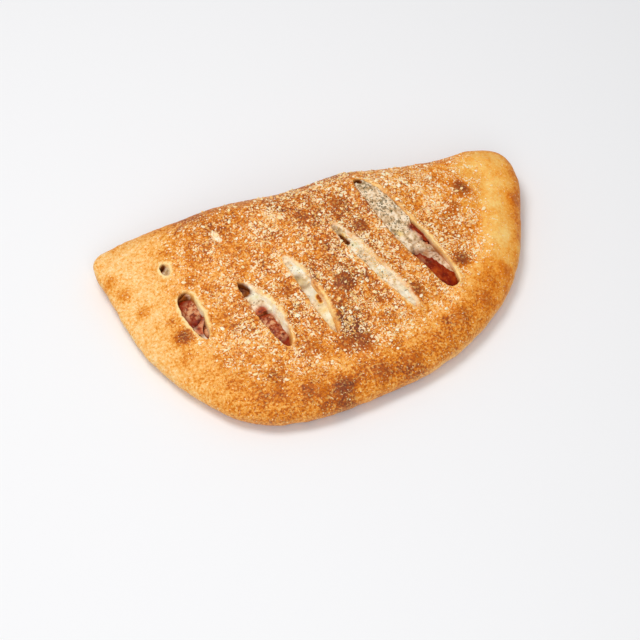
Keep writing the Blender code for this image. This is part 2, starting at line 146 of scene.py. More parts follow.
# %% Looking the outline up
outline_x, outline_y = EDGE_RADIUS * np.cos(EDGE_ANGLE), EDGE_RADIUS * np.sin(EDGE_ANGLE)
outline_step = np.hypot(np.roll(outline_x, -1) - outline_x, np.roll(outline_y, -1) - outline_y)
outline_share = np.concatenate([[0.0], np.cumsum(outline_step)[:-1]]) / outline_step.sum()
EDGE_TURN = -math.pi + 2 * math.pi * outline_share


def outline_angle(unit):
    """Angle about MIDDLE for points of the unit ball, spaced evenly along the outline."""
    turn = np.arctan2(unit[:, 1], unit[:, 0])
    return np.interp(turn, np.append(EDGE_TURN, math.pi), np.append(EDGE_ANGLE, math.pi))


def edge_radius(angle):
    """Distance from MIDDLE to the outline, between its points by straight lines."""
    return np.interp(angle, EDGE_ANGLE, EDGE_RADIUS, period=2 * math.pi)


def edge_reach(angle):
    """Distance from MIDDLE to the line that touches the outline there, square to that line."""
    return np.interp(angle, EDGE_ANGLE, EDGE_REACH, period=2 * math.pi)


def fold_share(angle):
    """0 on the sealed rim and 1 on the fold: the S-curve of the sine of the angle."""
    return smooth((np.sin(angle) + 0.1) / 0.9)


def rim_to_fold(rim, fold, angle):
    """One value on the sealed rim, another on the fold, and a soft change between."""
    return rim + (fold - rim) * fold_share(angle)


def polar(x, y):
    """Angle about MIDDLE, and the distance in from the edge: the share of the way left, times the reach."""
    dx, dy = x - MIDDLE[0], y - MIDDLE[1]
    angle = np.arctan2(dy, dx)
    return angle, (1.0 - np.hypot(dx, dy) / edge_radius(angle)) * edge_reach(angle)


print("outline length:", outline_step.sum().round(1), "mm")

# %% [markdown]
# The height starts as a puffed rim, thicker along the fold and thinner at both tips. The filling lifts a dome
# in the middle, and a quarter ellipse rounds everything off towards the edge.

# %% The pillow
RIM_HEIGHT = 17.5
FOLD_RISE = 11.5  # how much thicker the fold is than the rim
DOME_RISE = 14.0  # how far the filling lifts the middle
DOME = (2.0, 15.0, 104.0, 66.0)  # its place, half its length and half its depth
TIP_DROP = 5.0  # how much thinner the left tip is
RIM_WAIST, FOLD_WAIST = 7.5, 14.0  # height at which the side bulges out most
RIM_ROUNDING, FOLD_ROUNDING = 17.0, 23.0  # how far in from the edge the top is rounded off


def widest_height(angle):
    """Height of the line along which the side bulges out most."""
    return rim_to_fold(RIM_WAIST, FOLD_WAIST, angle)


def pillow_height(x, y):
    """Rim + fold - tip + dome, each with a soft step of its own."""
    fold = FOLD_RISE * smooth((y - 3.0) / 50.0)
    fold = fold * (1.0 - 0.6 * smooth((-x - 55.0) / 50.0) - 0.4 * smooth((x - 65.0) / 45.0))
    tip = TIP_DROP * smooth((-x - 72.0) / 42.0)
    return RIM_HEIGHT + fold - tip + DOME_RISE * oval_bump(x, y, *DOME) ** 0.7


def plain_top(x, y):
    """Height of the crust without its relief: the pillow, rounded off towards the edge."""
    angle, inward = polar(x, y)
    rounding = rim_to_fold(RIM_ROUNDING, FOLD_ROUNDING, angle)
    side = widest_height(angle)
    out = 1.0 - np.clip(inward / rounding, 0.0, 1.0)
    return side + (pillow_height(x, y) - side) * np.sqrt(1.0 - out * out)


print("height in the middle:", round(float(plain_top(0.0, 15.0)), 1), "mm")

# %% [markdown]
# A baker cuts the slashes with a blade, and the oven pulls them open. Cutting leaves out with a Boolean would
# give clean edges and no lips. So each slash is a formula, a leaf with two pointed ends, a full width and a
# bow to one side. The distance from a place to the edge of the leaf is what everything near a slash is built
# from: below zero it lies in the opening. The flare says how steeply the right wall falls, in millimetres
# down for each millimetre in. A small flare is a broad slanted band of pale, stretched dough, which is what
# the real slashes show on that side.

# %% The slashes
# widest is where along the slit, from 0 to 1, and pointed is the power that shapes its ends.
Slit = namedtuple("Slit", "start end width bow widest pointed flare")
SLITS = {
    "vent_tip": Slit((-84, 36), (-82, 28), 4.6, 0.0, 0.5, 0.5, 3.0),
    "slash_1": Slit((-79, 16), (-74, -14), 9.2, 0.0, 0.38, 0.55, 4.5),
    "slash_2": Slit((-51, 10), (-36, -32), 9.8, 1.2, 0.6, 0.5, 1.9),
    "slash_3": Slit((-25, 14), (-12, -33), 7.2, 1.4, 0.5, 0.6, 1.6),
    "slash_4": Slit((4, 24), (32, -30), 6.2, 0.0, 0.45, 0.5, 1.7),
    "slash_5": Slit((25, 49), (56, -22), 14.8, 0.0, 0.58, 0.36, 7.0),
}
VENT_DIMPLE = Slit((-55, 44), (-52, 34), 4.4, 0.0, 0.5, 0.6, 9.0)  # torn open, but not through the dough
# Pits in the filling, painted dark as shade further down: place, radius and depth.
HOLLOWS = (
    (-79.6, 13.6, 2.2, 2.4), (-49.2, 6.2, 2.8, 1.0), (-84.4, 34.6, 1.5, 3.0), (26.8, 46.6, 1.8, 4.0),
    (6.3, 17.2, 1.3, 2.5), (7.0, 15.7, 1.5, 3.0), (7.8, 14.2, 1.6, 3.0), (8.7, 12.6, 1.7, 3.0),
)


def leaf_width(slit, t):
    """Half the slit's width at t, from 0 at its start to 1 at its end: a power of 4t(1 - t)."""
    t = np.clip(t, 0.0, 1.0) ** (math.log(0.5) / math.log(slit.widest))
    return slit.width / 2 * (4.0 * t * (1.0 - t)) ** slit.pointed


def leaf_place(slit, x, y):
    """Share along the slit, distance across it to the right, and distance outside its edge."""
    start, end = np.array(slit.start, float), np.array(slit.end, float)
    length = np.linalg.norm(end - start)
    ahead = (end - start) / length
    t = ((x - start[0]) * ahead[0] + (y - start[1]) * ahead[1]) / length
    inner = np.clip(t, 0.0, 1.0)
    across = (y - start[1]) * ahead[0] - (x - start[0]) * ahead[1] - slit.bow * 4.0 * inner * (1.0 - inner)
    beside = np.abs(across) - leaf_width(slit, t)
    beyond = np.maximum(-t, t - 1.0) * length
    outside = np.where(beyond > 0.0, np.hypot(np.maximum(beside, 0.0), beyond), np.maximum(beside, beyond))
    return t, across, outside


def slit_distance(x, y):
    """Distance to the nearest opening."""
    return np.min([leaf_place(slit, x, y)[2] for slit in SLITS.values()], axis=0)


def slit_side(x, y):
    """0 left of the middle of the nearest opening and 1 right of it, with a soft step between."""
    places = [leaf_place(slit, x, y) for slit in SLITS.values()]
    nearest = np.argmin([outside for _, _, outside in places], axis=0)
    across = np.choose(nearest, [across for _, across, _ in places])
    return smooth(0.5 + across / 1.5)


def near_hollow(x, y, spread):
    """1 in the middle of a dark pit, falling to 0 at so many times its radius."""
    return np.max([round_bump(x, y, hx, hy, spread * radius) for hx, hy, radius, _ in HOLLOWS], axis=0)


print("from the middle to the nearest slash:", round(float(slit_distance(0.0, 5.0)), 1), "mm")

# %% [markdown]
# The crust's top is the pillow with what the oven does to it: lips that curl up along each slash, blisters
# where air lifted the skin, a crease along the seal, and low lumps from the slices below. They could be
# sculpted, but each has a simple form. So each is a term that is added to the height.

# %% The top of the crust
LIP_RISE = 1.1
LIP_SPREAD = 3.2
DIMPLE_DEPTH = 1.4
CREASE_PLACE, CREASE_WIDTH = 25.0, 6.0  # how far in from the sealed rim the crease runs
CREASE_DEPTH = 1.0
LUMP_RISE = 0.45
BLISTER_RISE = 1.2
BLISTER_SPREAD = 1.3  # a blister lifts the skin this many radii out

# Centre, radius, and how dark each blister is baked, from 0 to 1.
BLISTERS = (
    (-85, -8, 5.5, 0.95), (-106, 30, 4.5, 0.3), (-111, 40, 4.0, 0.25), (-100, 16, 4.0, 0.3),
    (-69, 32, 5.0, 0.25), (-73, 20, 4.0, 0.3), (79, 33, 5.5, 0.95), (70, 22, 4.0, 0.5), (106, 25, 4.5, 0.35),
    (18, 20, 4.5, 0.9), (10, 35, 4.0, 0.4), (0, -8, 5.5, 1.0), (34, -21, 4.0, 0.8), (64, -8, 5.0, 0.95),
    (85, -17, 5.5, 0.3), (52, -39, 5.5, 0.35), (68, -33, 5.0, 0.3), (-19, -62, 6.0, 1.0),
    (-30, -60, 4.5, 0.4), (3, -58, 5.0, 0.7), (21, -55, 5.0, 0.4), (-1, -41, 6.0, 0.75),
    (-9, -39, 5.0, 0.5), (-26, -37, 5.0, 0.45), (-30, -5, 4.0, 0.5),
)


def crust_top(x, y):
    """Pillow + lips + blisters - dimple - crease + lumps."""
    angle, inward = polar(x, y)
    flat = smooth(inward / 16.0)
    height = plain_top(x, y)
    height = height + LIP_RISE * flat * np.exp(-(np.maximum(slit_distance(x, y), 0.0) / LIP_SPREAD) ** 2)
    rise = BLISTER_RISE * smooth(inward / 6.0)
    for bx, by, radius, _ in BLISTERS:
        height = height + rise * round_bump(x, y, bx, by, radius * BLISTER_SPREAD)
    height = height - DIMPLE_DEPTH * bump(np.maximum(leaf_place(VENT_DIMPLE, x, y)[2], 0.0), 2.5)
    crease = np.exp(-(((inward - CREASE_PLACE) / CREASE_WIDTH) ** 2)) * (1.0 - fold_share(angle))
    lumps = np.sin(x / 11.0 + 1.3) * np.sin(y / 9.0 - 0.6) + 0.7 * np.sin(x / 6.1 - y / 7.3)
    return height + flat * (LUMP_RISE * lumps - CREASE_DEPTH * crease)


print("top of a blister:", round(float(crust_top(18.0, 20.0)), 1), "mm")

# %% [markdown]
# Inside the dough is the hollow that holds the filling. Its roof follows the top of the crust, four
# millimetres lower, and closes down to a pinched rim. Shrinking the crust's mesh would make it cross itself
# at that rim, so the hollow is a form of its own. The filling will use it too, drawn in a little.

# %% The hollow in the dough
ROOF = 4.0  # thickness of the dough over the filling
FLOOR = 6.0  # and under it
SEAL_WIDTH = 15.0
FOLD_WALL = 9.0
RIM_WIDEST, FOLD_WIDEST = 11.0, 15.0  # height at which the hollow reaches furthest out
FLOOR_SHARE = 0.8  # how far out the hollow's floor stays flat


def pocket_radius(angle, slack):
    """How far from MIDDLE the hollow reaches, with three times the slack at its pinched rim."""
    wall = rim_to_fold(SEAL_WIDTH, FOLD_WALL, angle)
    return edge_radius(angle) * (1.0 - (wall + 3.0 * slack) / edge_reach(angle))


def pocket_waist(angle):
    """Height at which the hollow reaches furthest out."""
    return rim_to_fold(RIM_WIDEST, FOLD_WIDEST, angle)


def ceiling(x, y, slack=0.0):
    """Underside of the dough over the filling: its roof, falling to the waist by a power of the way out."""
    angle = polar(x, y)[0]
    out = np.hypot(x - MIDDLE[0], y - MIDDLE[1]) / pocket_radius(angle, slack)
    waist = pocket_waist(angle)
    return waist + (plain_top(x, y) - ROOF - slack - waist) * np.sqrt(1.0 - np.clip(out, 0.0, 1.0) ** 6)


def pocket_point(unit, gap=0.0, slack=0.0):
    """The unit ball wrapped onto the hollow, drawn in by slack, and by the gap below."""
    angle = outline_angle(unit)
    flat = np.minimum(np.hypot(unit[:, 0], unit[:, 1]), 1.0)
    radius = pocket_radius(angle, slack) * flat
    x, y = MIDDLE[0] + radius * np.cos(angle), MIDDLE[1] + radius * np.sin(angle)
    waist = pocket_waist(angle)
    pinch = np.clip(flat / FLOOR_SHARE - 1.0, 0.0, None) * FLOOR_SHARE / (1.0 - FLOOR_SHARE)
    below = waist - (waist - FLOOR - gap) * np.sqrt(1.0 - np.minimum(pinch, 1.0) ** 2)
    return np.stack([x, y, np.where(unit[:, 2] >= 0.0, ceiling(x, y, slack), below)], axis=1)


print("roof of the hollow in the middle:", round(float(ceiling(0.0, 15.0)), 1), "mm")

# %% [markdown]
# ## Unevenness
#
# Nothing baked is even. Blender's noise texture could move the points of a mesh, but here the same noise
# shapes meshes, colours them and says where cheese fell, so it is a function. In value noise random numbers
# sit at the corners of a grid of cubes, and the S-curve blends them in between. Cells of several sizes are
# added, large and soft to small and sharp.

# %% Value noise
NOISE_TABLE = np.random.default_rng(5).uniform(-1.0, 1.0, (64, 64, 64))


def noise(x, y, z, cell):
    """Smooth noise from -1 to 1 with features about `cell` millimetres wide: eight random corners blended."""
    spot = np.stack(np.broadcast_arrays(x, y, z)).astype(float) / cell + 31.7 * cell
    corner = np.floor(spot).astype(int)
    u = spot - corner
    u = u * u * (3.0 - 2.0 * u)
    total = 0.0
    for step in itertools.product((0, 1), repeat=3):
        index = [(corner[axis] + step[axis]) % 64 for axis in range(3)]
        weight = np.prod([u[axis] if step[axis] else 1.0 - u[axis] for axis in range(3)], axis=0)
        total = total + weight * NOISE_TABLE[tuple(index)]
    return total


def layered(start, x, y, z, *layers):
    """The start, plus noise of several sizes: each layer is how much of it, and how wide its features are."""
    return sum((amount * noise(x, y, z, cell) for amount, cell in layers), start)


sample = noise(np.arange(2000.0), 0.0, 0.0, 3.3)
print("noise runs from", sample.min().round(2), "to", sample.max().round(2))

# %% [markdown]
# ## A mesh that is fine only where it needs to be
#
# A grid that is fine enough for the thin lip of a slash would waste most of its faces on plain crust. So each
# closed surface starts as the eight faces of an octahedron, wrapped onto its form. In each round every edge
# that lands longer than it may be there is cut in two, and the triangles are divided at their cut sides.

# %% Dividing triangles at their cut sides
def divided(faces, cuts):
    """The triangles, divided at their cut sides. `cuts` holds the new corner on each side, or -1.

    The corners are first turned, so that all the triangles with one cut have it on their first side, and all
    with two cuts have their whole side last.
    """
    count = (cuts >= 0).sum(axis=1)
    one, two = (cuts >= 0).argmax(axis=1), ((cuts < 0).argmax(axis=1) + 1) % 3
    first = np.select([count == 1, count == 2], [one, two], 0)
    turn = (first[:, None] + np.arange(3)) % 3
    a, b, c = np.take_along_axis(faces, turn, axis=1).T
    ab, bc, ca = np.take_along_axis(cuts, turn, axis=1).T
    parts = {
        0: [(a, b, c)],
        1: [(a, ab, c), (ab, b, c)],
        2: [(ab, b, bc), (a, ab, bc), (a, bc, c)],
        3: [(a, ab, ca), (ab, b, bc), (ca, bc, c), (ab, bc, ca)],
    }
    return np.concatenate([np.stack(part, axis=1)[count == k] for k in parts for part in parts[k]])


print("one triangle, all sides cut:", len(divided(np.array([[0, 1, 2]]), np.array([[3, 4, 5]]))), "triangles")

# %% [markdown]
# The rounds of division come next. Subdividing a cube would do the same evenly all over, but here a function
# says how long an edge may be at each place. The new corners are put on the ball first and onto the form
# after that, so they follow the form and not the flat face they came from.

# %% Wrapping a ball onto a form
EIGHT_FACES = np.array([
    (0, 1, 2), (1, 3, 2), (3, 4, 2), (4, 0, 2), (1, 0, 5), (3, 1, 5), (4, 3, 5), (0, 4, 5),
])


def wrapped_ball(place, longest, even_rounds=4, rounds=10):
    """A closed triangle mesh of place(points of the unit ball): its points, and its faces.

    longest(points) is how long an edge may be at its middle. The first rounds divide everything, and the last
    round ends it, because an edge that crosses a cliff would be divided for ever.
    """
    axes = np.eye(3)
    unit = np.concatenate([axes, -axes])
    faces = EIGHT_FACES
    points = place(unit)
    for turn in range(rounds):
        sides = np.sort(faces[:, [0, 1, 1, 2, 2, 0]].reshape(-1, 2), axis=1)
        keys, index = np.unique(sides[:, 0] * len(unit) + sides[:, 1], return_inverse=True)
        ends = np.stack([keys // len(unit), keys % len(unit)], axis=1)
        length = np.linalg.norm(points[ends[:, 0]] - points[ends[:, 1]], axis=1)
        cut = (length > longest(points[ends].mean(axis=1))) | (turn < even_rounds)
        if not cut.any():
            break
        middle = unit[ends[cut]].mean(axis=1)
        middle /= np.linalg.norm(middle, axis=1)[:, None]
        corner = np.full(len(keys), -1)
        corner[cut] = len(unit) + np.arange(cut.sum())
        faces = divided(faces, corner[index.reshape(-1, 3)])
        unit, points = np.concatenate([unit, middle]), np.concatenate([points, place(middle)])
    return points, faces


print("a plain ball of this kind:", len(wrapped_ball(lambda unit: unit, lambda points: 0.2)[1]), "triangles")

# %% [markdown]
# A mesh goes into Blender as one array of points and one of faces. The millimetres become metres here, and
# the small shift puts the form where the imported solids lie. It is read from the box of the largest slice.
# Each slice of pepperoni is a place and a radius.

# %% From arrays to a Blender object
SLICES = {
    "pepperoni_1": (-80, 5, 9.0),
    "pepperoni_2": (-67, -9, 7.5),
    "pepperoni_3": (-43, -22, 12.0),
    "pepperoni_4": (57, 17, 12.0),
    "pepperoni_5": (46, -11, 14.0),
}
slice_low, slice_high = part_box("pepperoni_5")
slice_middle = [(slice_low[k] + slice_high[k]) / 2 / MM for k in range(2)]
SHIFT = np.array([slice_middle[k] - SLICES["pepperoni_5"][k] for k in range(2)] + [0.0])


def object_from(name, points, faces):
    """A smooth-shaded object at the origin, of points in millimetres and triangles."""
    mesh = bpy.data.meshes.new(name)
    mesh.from_pydata((points + SHIFT) * MM, [], faces)
    mesh.shade_smooth()
    obj = bpy.data.objects.new(name, mesh)
    bpy.context.scene.collection.objects.link(obj)
    return obj


def points_of(obj):
    """The points of an object's mesh, in millimetres, as three arrays."""
    flat = np.empty(3 * len(obj.data.vertices), np.float32)
    obj.data.vertices.foreach_get("co", flat)
    return (flat.reshape(-1, 3) / MM - SHIFT).astype(float).T


def paint(obj, **values):
    """Stores one number for each point of the mesh under each name, for the materials to read."""
    for name, value in values.items():
        layer = obj.data.attributes.new(name, "FLOAT", "POINT")
        layer.data.foreach_set("value", np.clip(np.broadcast_to(value, len(layer.data)), 0.0, 1.0))


print("shift of the solids in mm:", SHIFT.round(3))

# %% [markdown]
# ## The crust
#
# On the real roll the skin is bumpy on several scales, and the edges of a slash are torn, not cut with a
# ruler. It could be sculpted, but noise is quicker to adjust. Three layers of it push the distance to the
# slash in and out. Inside it the height falls: round over the lip, then steeply on the left and along the
# flare on the right, except at a dark pit, where both walls are steep.

# %% The fine top of the crust
LIP_ROUND = 1.8  # how far out from a slash its lip starts to round over
LEFT_FALL = 9.0  # millimetres down for each millimetre in
WELL = 3.0  # a slash is carved this far past the roof of the hollow


def skin_relief(x, y, z):
    """Low bumps of seven to one and a half millimetres, and small bubbles where the noise is highest."""
    soft = layered(0.0, x, y, z, (0.30, 7.0), (0.20, 3.3), (0.11, 1.6))
    return soft + 0.5 * np.maximum(noise(x, y, z, 2.4) - 0.35, 0.0)


def fine_top(x, y):
    """The crust's top with its fine relief, as if it had no slashes."""
    return crust_top(x, y) + skin_relief(x, y, 0.0) * (0.4 + 0.6 * smooth(slit_distance(x, y) / 2.0))


def slash_drop(x, y):
    """How far the dough drops in and by the slashes: the round of the lip, plus the fall times the way in."""
    torn = layered(0.0, x, y, 40.0, (0.55, 5.2), (0.32, 2.3), (0.15, 1.1))
    steep, pit = near_hollow(x, y, 2.0), near_hollow(x, y, 1.3)
    drop = 0.0
    for slit in SLITS.values():
        _, across, outside = leaf_place(slit, x, y)
        outside = outside + torn - 0.9 * pit
        right = smooth(0.5 + across / 1.2) * (1.0 - steep)
        fall = LEFT_FALL + (slit.flare - LEFT_FALL) * right
        over = 0.5 * np.clip(1.0 - outside / LIP_ROUND, 0.0, 1.0) ** 2
        drop = np.maximum(drop, over + fall * np.maximum(-outside, 0.0))
    return drop


def opened_top(x, y):
    """The fine top with the slashes carved to just below the roof of the hollow."""
    return np.maximum(fine_top(x, y) - slash_drop(x, y), ceiling(x, y) - WELL)


print("drop in the middle of the widest slash:", round(float(slash_drop(43.0, 8.0)), 1), "mm")

# %% [markdown]
# The whole skin is one closed surface, because the next step has to know its inside from its outside. The
# upper half of the ball becomes the top, the lower half the side, which curls under, and then the flat base.
# The sides are pushed in and out a little along their rays.

# %% The whole skin
UNDERCUT = 6.5  # how far the side curls in under its widest line
UNDERCUT_SHARE = 0.4  # the share of the ball's lower half that becomes the side
SOLE_DROP = 0.5  # the edge of the base is this high
SOLE_INSET = 3.0  # and comes down to the floor this far in
FINEST_EDGE, SKIN_EDGE, RIM_EDGE, BASE_EDGE = 0.85, 1.5, 1.6, 6.0


def crust_point(unit):
    """The unit ball wrapped onto the crust: the opened top, a quarter turn under for the side, the base."""
    angle = outline_angle(unit)
    flat = np.hypot(unit[:, 0], unit[:, 1])
    up = unit[:, 2] >= -1e-9
    down = np.arctan2(np.maximum(-unit[:, 2], 0.0), flat) / (math.pi / 2)
    turn = np.clip(down / UNDERCUT_SHARE, 0.0, 1.0) * math.pi / 2
    base = np.clip((down - UNDERCUT_SHARE) / (1.0 - UNDERCUT_SHARE), 0.0, 1.0)
    edge, reach = edge_radius(angle), edge_reach(angle)
    radius = np.where(up, edge * flat, (edge - UNDERCUT * edge / reach * (1.0 - np.cos(turn))) * (1.0 - base))
    x, y = MIDDLE[0] + radius * np.cos(angle), MIDDLE[1] + radius * np.sin(angle)
    low = SOLE_DROP + (widest_height(angle) - SOLE_DROP) * (1.0 - np.sin(turn))
    low = np.where(down >= UNDERCUT_SHARE, SOLE_DROP * (1.0 - smooth(base * reach / SOLE_INSET)), low)
    z = np.where(up, opened_top(x, y), low)
    side = np.where(up, smooth(1.0 - (1.0 - flat) * reach / 9.0), 1.0) * smooth((z - 0.5) / 3.0)
    push = side * (layered(0.0, x, y, z, (0.45, 6.5), (0.2, 2.7)) - 0.4)
    return np.stack([x + push * np.cos(angle), y + push * np.sin(angle), z], axis=1)


def crust_edge(points):
    """The longest edge allowed: finest at a slash, growing to that of the skin, and coarse on the base."""
    x, y, z = points.T
    near = slit_distance(x, y)
    longest = np.clip(FINEST_EDGE + 0.3 * (near - 1.2), FINEST_EDGE, SKIN_EDGE)
    return np.where(z < 1.0, BASE_EDGE, np.where(polar(x, y)[1] < 6.0, RIM_EDGE, longest))


skin_points, skin_faces = wrapped_ball(crust_point, crust_edge)
crust = object_from("baked_crust", skin_points, skin_faces)
print("skin of the crust:", len(skin_faces), "triangles")

# %% [markdown]
# The hollow is a ball wrapped onto its own form. A Boolean takes it out of the dough, and where a slash is
# carved past the roof, that opens it. The solver for closed meshes does this in a moment, even at this size.

# %% Hollowing the dough out
HOLLOW_EDGE = 4.0
hollow = object_from("hollow", *wrapped_ball(pocket_point, lambda points: np.full(len(points), HOLLOW_EDGE)))
cutting = crust.modifiers.new("hollow", "BOOLEAN")
cutting.operation = "DIFFERENCE"
cutting.solver = "MANIFOLD"
cutting.object = hollow
crust.data = bpy.data.meshes.new_from_object(crust.evaluated_get(bpy.context.evaluated_depsgraph_get()))
crust.modifiers.clear()
bpy.data.objects.remove(hollow, do_unlink=True)
crust.data.shade_smooth()
print("crust after the cut:", len(crust.data.polygons), "faces")

# %% [markdown]
# What a baker sees as colour is mostly how far the crust has browned. It could be painted by hand or left to
# noise alone, but a number worked out for every point can follow the blisters and the slashes. So the toast
# runs from 0, pale dough, to 1, dark blister. It starts almost even, shifts over broad areas, and rises in
# patches and blisters with ragged edges.

# %% How brown the crust is
EVEN_TOAST = 0.55
MIDDLE_BROWNER, FOLD_BROWNER = 0.23, 0.14
LEFT_PALER, RIGHT_PALER, RIGHT_TIP_PALER = 0.30, 0.09, 0.18
RIM_BAND, RIM_BAND_BROWNER, RIM_PATCHES_BROWNER = 6.0, 0.10, 0.20  # its distance in, and how much
RIM_CREASE, RIM_CREASE_PALER = 19.0, 0.10
BROWN_MIDDLE = (5.0, 12.0, 100.0, 66.0)  # its place, half its length and half its depth
PATCH_SPREAD = 1.4
BLISTER_BROWN = 1.35  # a blister is brown this many radii out
# Broad areas that are browner or paler: place, half length, half depth, and by how much.
SHADES = (
    (92, 2, 22.0, 22.0, -0.14), (-20, 20, 20.0, 20.0, -0.10), (-50, -52, 40.0, 22.0, 0.08),
    (86, -12, 24.0, 24.0, -0.16), (-50, 36, 24.0, 24.0, 0.05), (-18, -40, 16.0, 16.0, 0.05),
    (-14, 54, 22.0, 22.0, 0.03),
)
# Patches that browned without lifting: centre, radius and darkness.
PATCHES = (
    (-4, -35, 9.0, 0.30), (-6, -28, 7.0, 0.30), (-88, 3, 4.0, 0.22), (-80, 42, 5.0, 0.12),
    (-70, 50, 5.0, 0.16), (44, -40, 4.5, 0.25), (15, -46, 5.0, 0.18), (92, -10, 6.0, 0.14),
    (100, 2, 5.0, 0.10), (-46, -45, 6.0, 0.16), (-88, -20, 5.0, 0.12), (30, -48, 6.0, 0.12),
    (44, -52, 4.0, 0.14), (60, -42, 4.0, 0.12), (-36, -58, 6.0, 0.14), (104, 40, 4.0, 0.14),
    (-62, 58, 8.0, 0.18), (20, 60, 9.0, 0.16),
)


def rim_toast(x, y, z):
    """The sealed rim: browner in a patchy band near its edge, and paler in the crease behind that."""
    angle, inward = polar(x, y)
    front = 1.0 - fold_share(angle)
    crease = np.exp(-(((inward - RIM_CREASE) / 5.0) ** 2)) * front * smooth((x + 40.0) / 40.0)
    band = np.exp(-(((inward - RIM_BAND) / 8.0) ** 2)) * front * smooth((x + 70.0) / 50.0)
    band = band * (1.0 - 0.5 * smooth((x - 70.0) / 25.0))
    patchy = smooth((noise(x, y, z, 8.0) - 0.05) / 0.5) * smooth((50.0 - x) / 30.0)
    return band * (RIM_BAND_BROWNER + RIM_PATCHES_BROWNER * patchy) - RIM_CREASE_PALER * crease


def toast_at(x, y, z):
    """Uneven brown, more in the middle, on the fold and rim, less at both tips, with patches and blisters."""
    angle, inward = polar(x, y)
    uneven = layered(0.0, x, y, z, (0.08, 16.0), (0.10, 6.0), (0.09, 2.5))
    toast = EVEN_TOAST + uneven * (1.0 - 0.45 * smooth((-x - 68.0) / 20.0))
    toast = toast + MIDDLE_BROWNER * oval_bump(x, y, *BROWN_MIDDLE) ** 0.7
    toast = toast + FOLD_BROWNER * fold_share(angle) * bump(inward, 18.0)
    toast = toast - LEFT_PALER * smooth((-x - 58.0) / 50.0) * smooth((inward + 9.0) / 11.0)
    toast = toast - RIGHT_TIP_PALER * smooth((x - 72.0) / 22.0) * smooth((inward - 2.0) / 8.0)
    toast = toast - RIGHT_PALER * smooth((x - 8.0) / 50.0)
    for *area, shift in SHADES:
        toast = toast + shift * oval_bump(x, y, *area)
    toast = toast + rim_toast(x, y, z)
    ragged = layered(1.0, x, y, z, (0.22, 3.4), (0.12, 1.5))
    for bx, by, radius, dark in PATCHES:
        toast = toast + 0.9 * dark * bump(np.hypot(x - bx, y - by) * ragged, radius * PATCH_SPREAD)
    for bx, by, radius, dark in BLISTERS:
        share = bump(np.hypot(x - bx, y - by) * ragged, radius * BLISTER_BROWN) ** 0.7
        toast = toast + (0.64 + 0.30 * dark - toast) * share * (0.5 + 0.5 * dark)
    return toast


def blister_share(x, y):
    """1 in the middle of a dark blister, where the skin is smooth and evenly brown, and 0 away from them."""
    shares = [(0.5 + 0.5 * dark) * round_bump(x, y, bx, by, BLISTER_SPREAD * radius)
              for bx, by, radius, dark in BLISTERS]
    return np.max(shares, axis=0) ** 0.6


def off_blisters(x, y):
    """Near 0 on top of a dark blister, where little cheese stuck, and 1 away from all of them."""
    bare = [dark**0.5 * (1.0 - smooth((np.hypot(x - bx, y - by) / radius - 0.6) / 0.7))
            for bx, by, radius, dark in BLISTERS]
    return 1.0 - np.max(bare, axis=0)


crust_x, crust_y, crust_z = points_of(crust)
crust_toast = toast_at(crust_x, crust_y, crust_z)
print("toast runs from", crust_toast.min().round(2), "to", crust_toast.max().round(2))

# %% [markdown]
# Where the dough tore, its pale inside shows, and on the real roll that differs from slash to slash. Some
# walls are stretched thin and white, some are soaked with fat, and beside some the skin fades to pale gold
# without a lip. One rule for every slash would look stamped, and painting by hand can't be changed later. So
# short lists of marks say where: each is a place, a radius and a strength, and the strongest one counts.

# %% Marks along the slashes
# Where the dough in a slash is stretched thin and white.
WHITE_WALLS = (
    (-40, -6, 13.0, 1.5), (-37, -19, 9.0, 1.2), (-18, 4, 13.0, 1.0), (-14, -16, 9.0, 0.5), (14, 8, 15.0, 0.9),
    (24, -12, 14.0, 0.9), (30, -24, 9.0, 0.8), (-73, 3, 8.0, 0.8), (-82, 31, 5.0, 0.8), (38, 38, 12.0, 0.5),
    (-34, -14, 9.0, 1.4), (7, 19, 9.0, 1.0), (-46, 5, 8.0, 1.5), (-76, -8, 8.0, 0.7), (-24, 12, 7.0, 1.0),
    (51, 7, 12.0, 0.4), (57, -8, 9.0, 0.4),
)
# Where the lip along a slash is pale and plain.
PALE_LIPS = (
    (-77, 2, 22.0, 1.6), (-83, 32, 9.0, 1.6), (-38, -8, 20.0, 1.2), (-36, -28, 12.0, 1.0),
    (-13, -16, 16.0, 1.6), (-20, 6, 10.0, 1.0), (52, 10, 34.0, 1.2), (56, -16, 14.0, 1.2),
    (36, 44, 14.0, 1.0), (14, 8, 16.0, 0.4),
)
# Where the lip is as pale on the left of a slash as on its right.
EVEN_LIPS = ((-78, 2, 26.0, 2.0), (-83, 32, 12.0, 2.0))
# Where the crust fades to pale gold beside a slash, without a lip.
SKIRTS = (
    (6, 20, 10.0, 1.6), (14, 6, 18.0, 2.0), (24, -14, 18.0, 2.0), (30, -26, 9.0, 1.2), (-24, 9, 11.0, 1.8),
    (-20, 0, 8.0, 0.8), (-12, -30, 7.0, 0.8), (-45, 3, 8.0, 0.8), (-38, -12, 9.0, 0.4),
)


def marked(x, y, marks):
    """The strongest of the marks at this place: a bump round each, times its strength."""
    return np.max([strength * round_bump(x, y, mx, my, radius) for mx, my, radius, strength in marks], axis=0)


def painted_pit_shade(x, y, depth):
    """Painted shade, 1 deep in a dark pit and 0 on what lies round it: a wide mark, times a step at one to
    two millimetres.
    """
    return np.minimum(2.5 * near_hollow(x, y, 2.1), 1.0) * smooth((depth - 0.9) / 1.2)


crust_white = marked(crust_x, crust_y, WHITE_WALLS)
print("share of the crust's points by a white wall:", (crust_white > 0.0).mean().round(3))
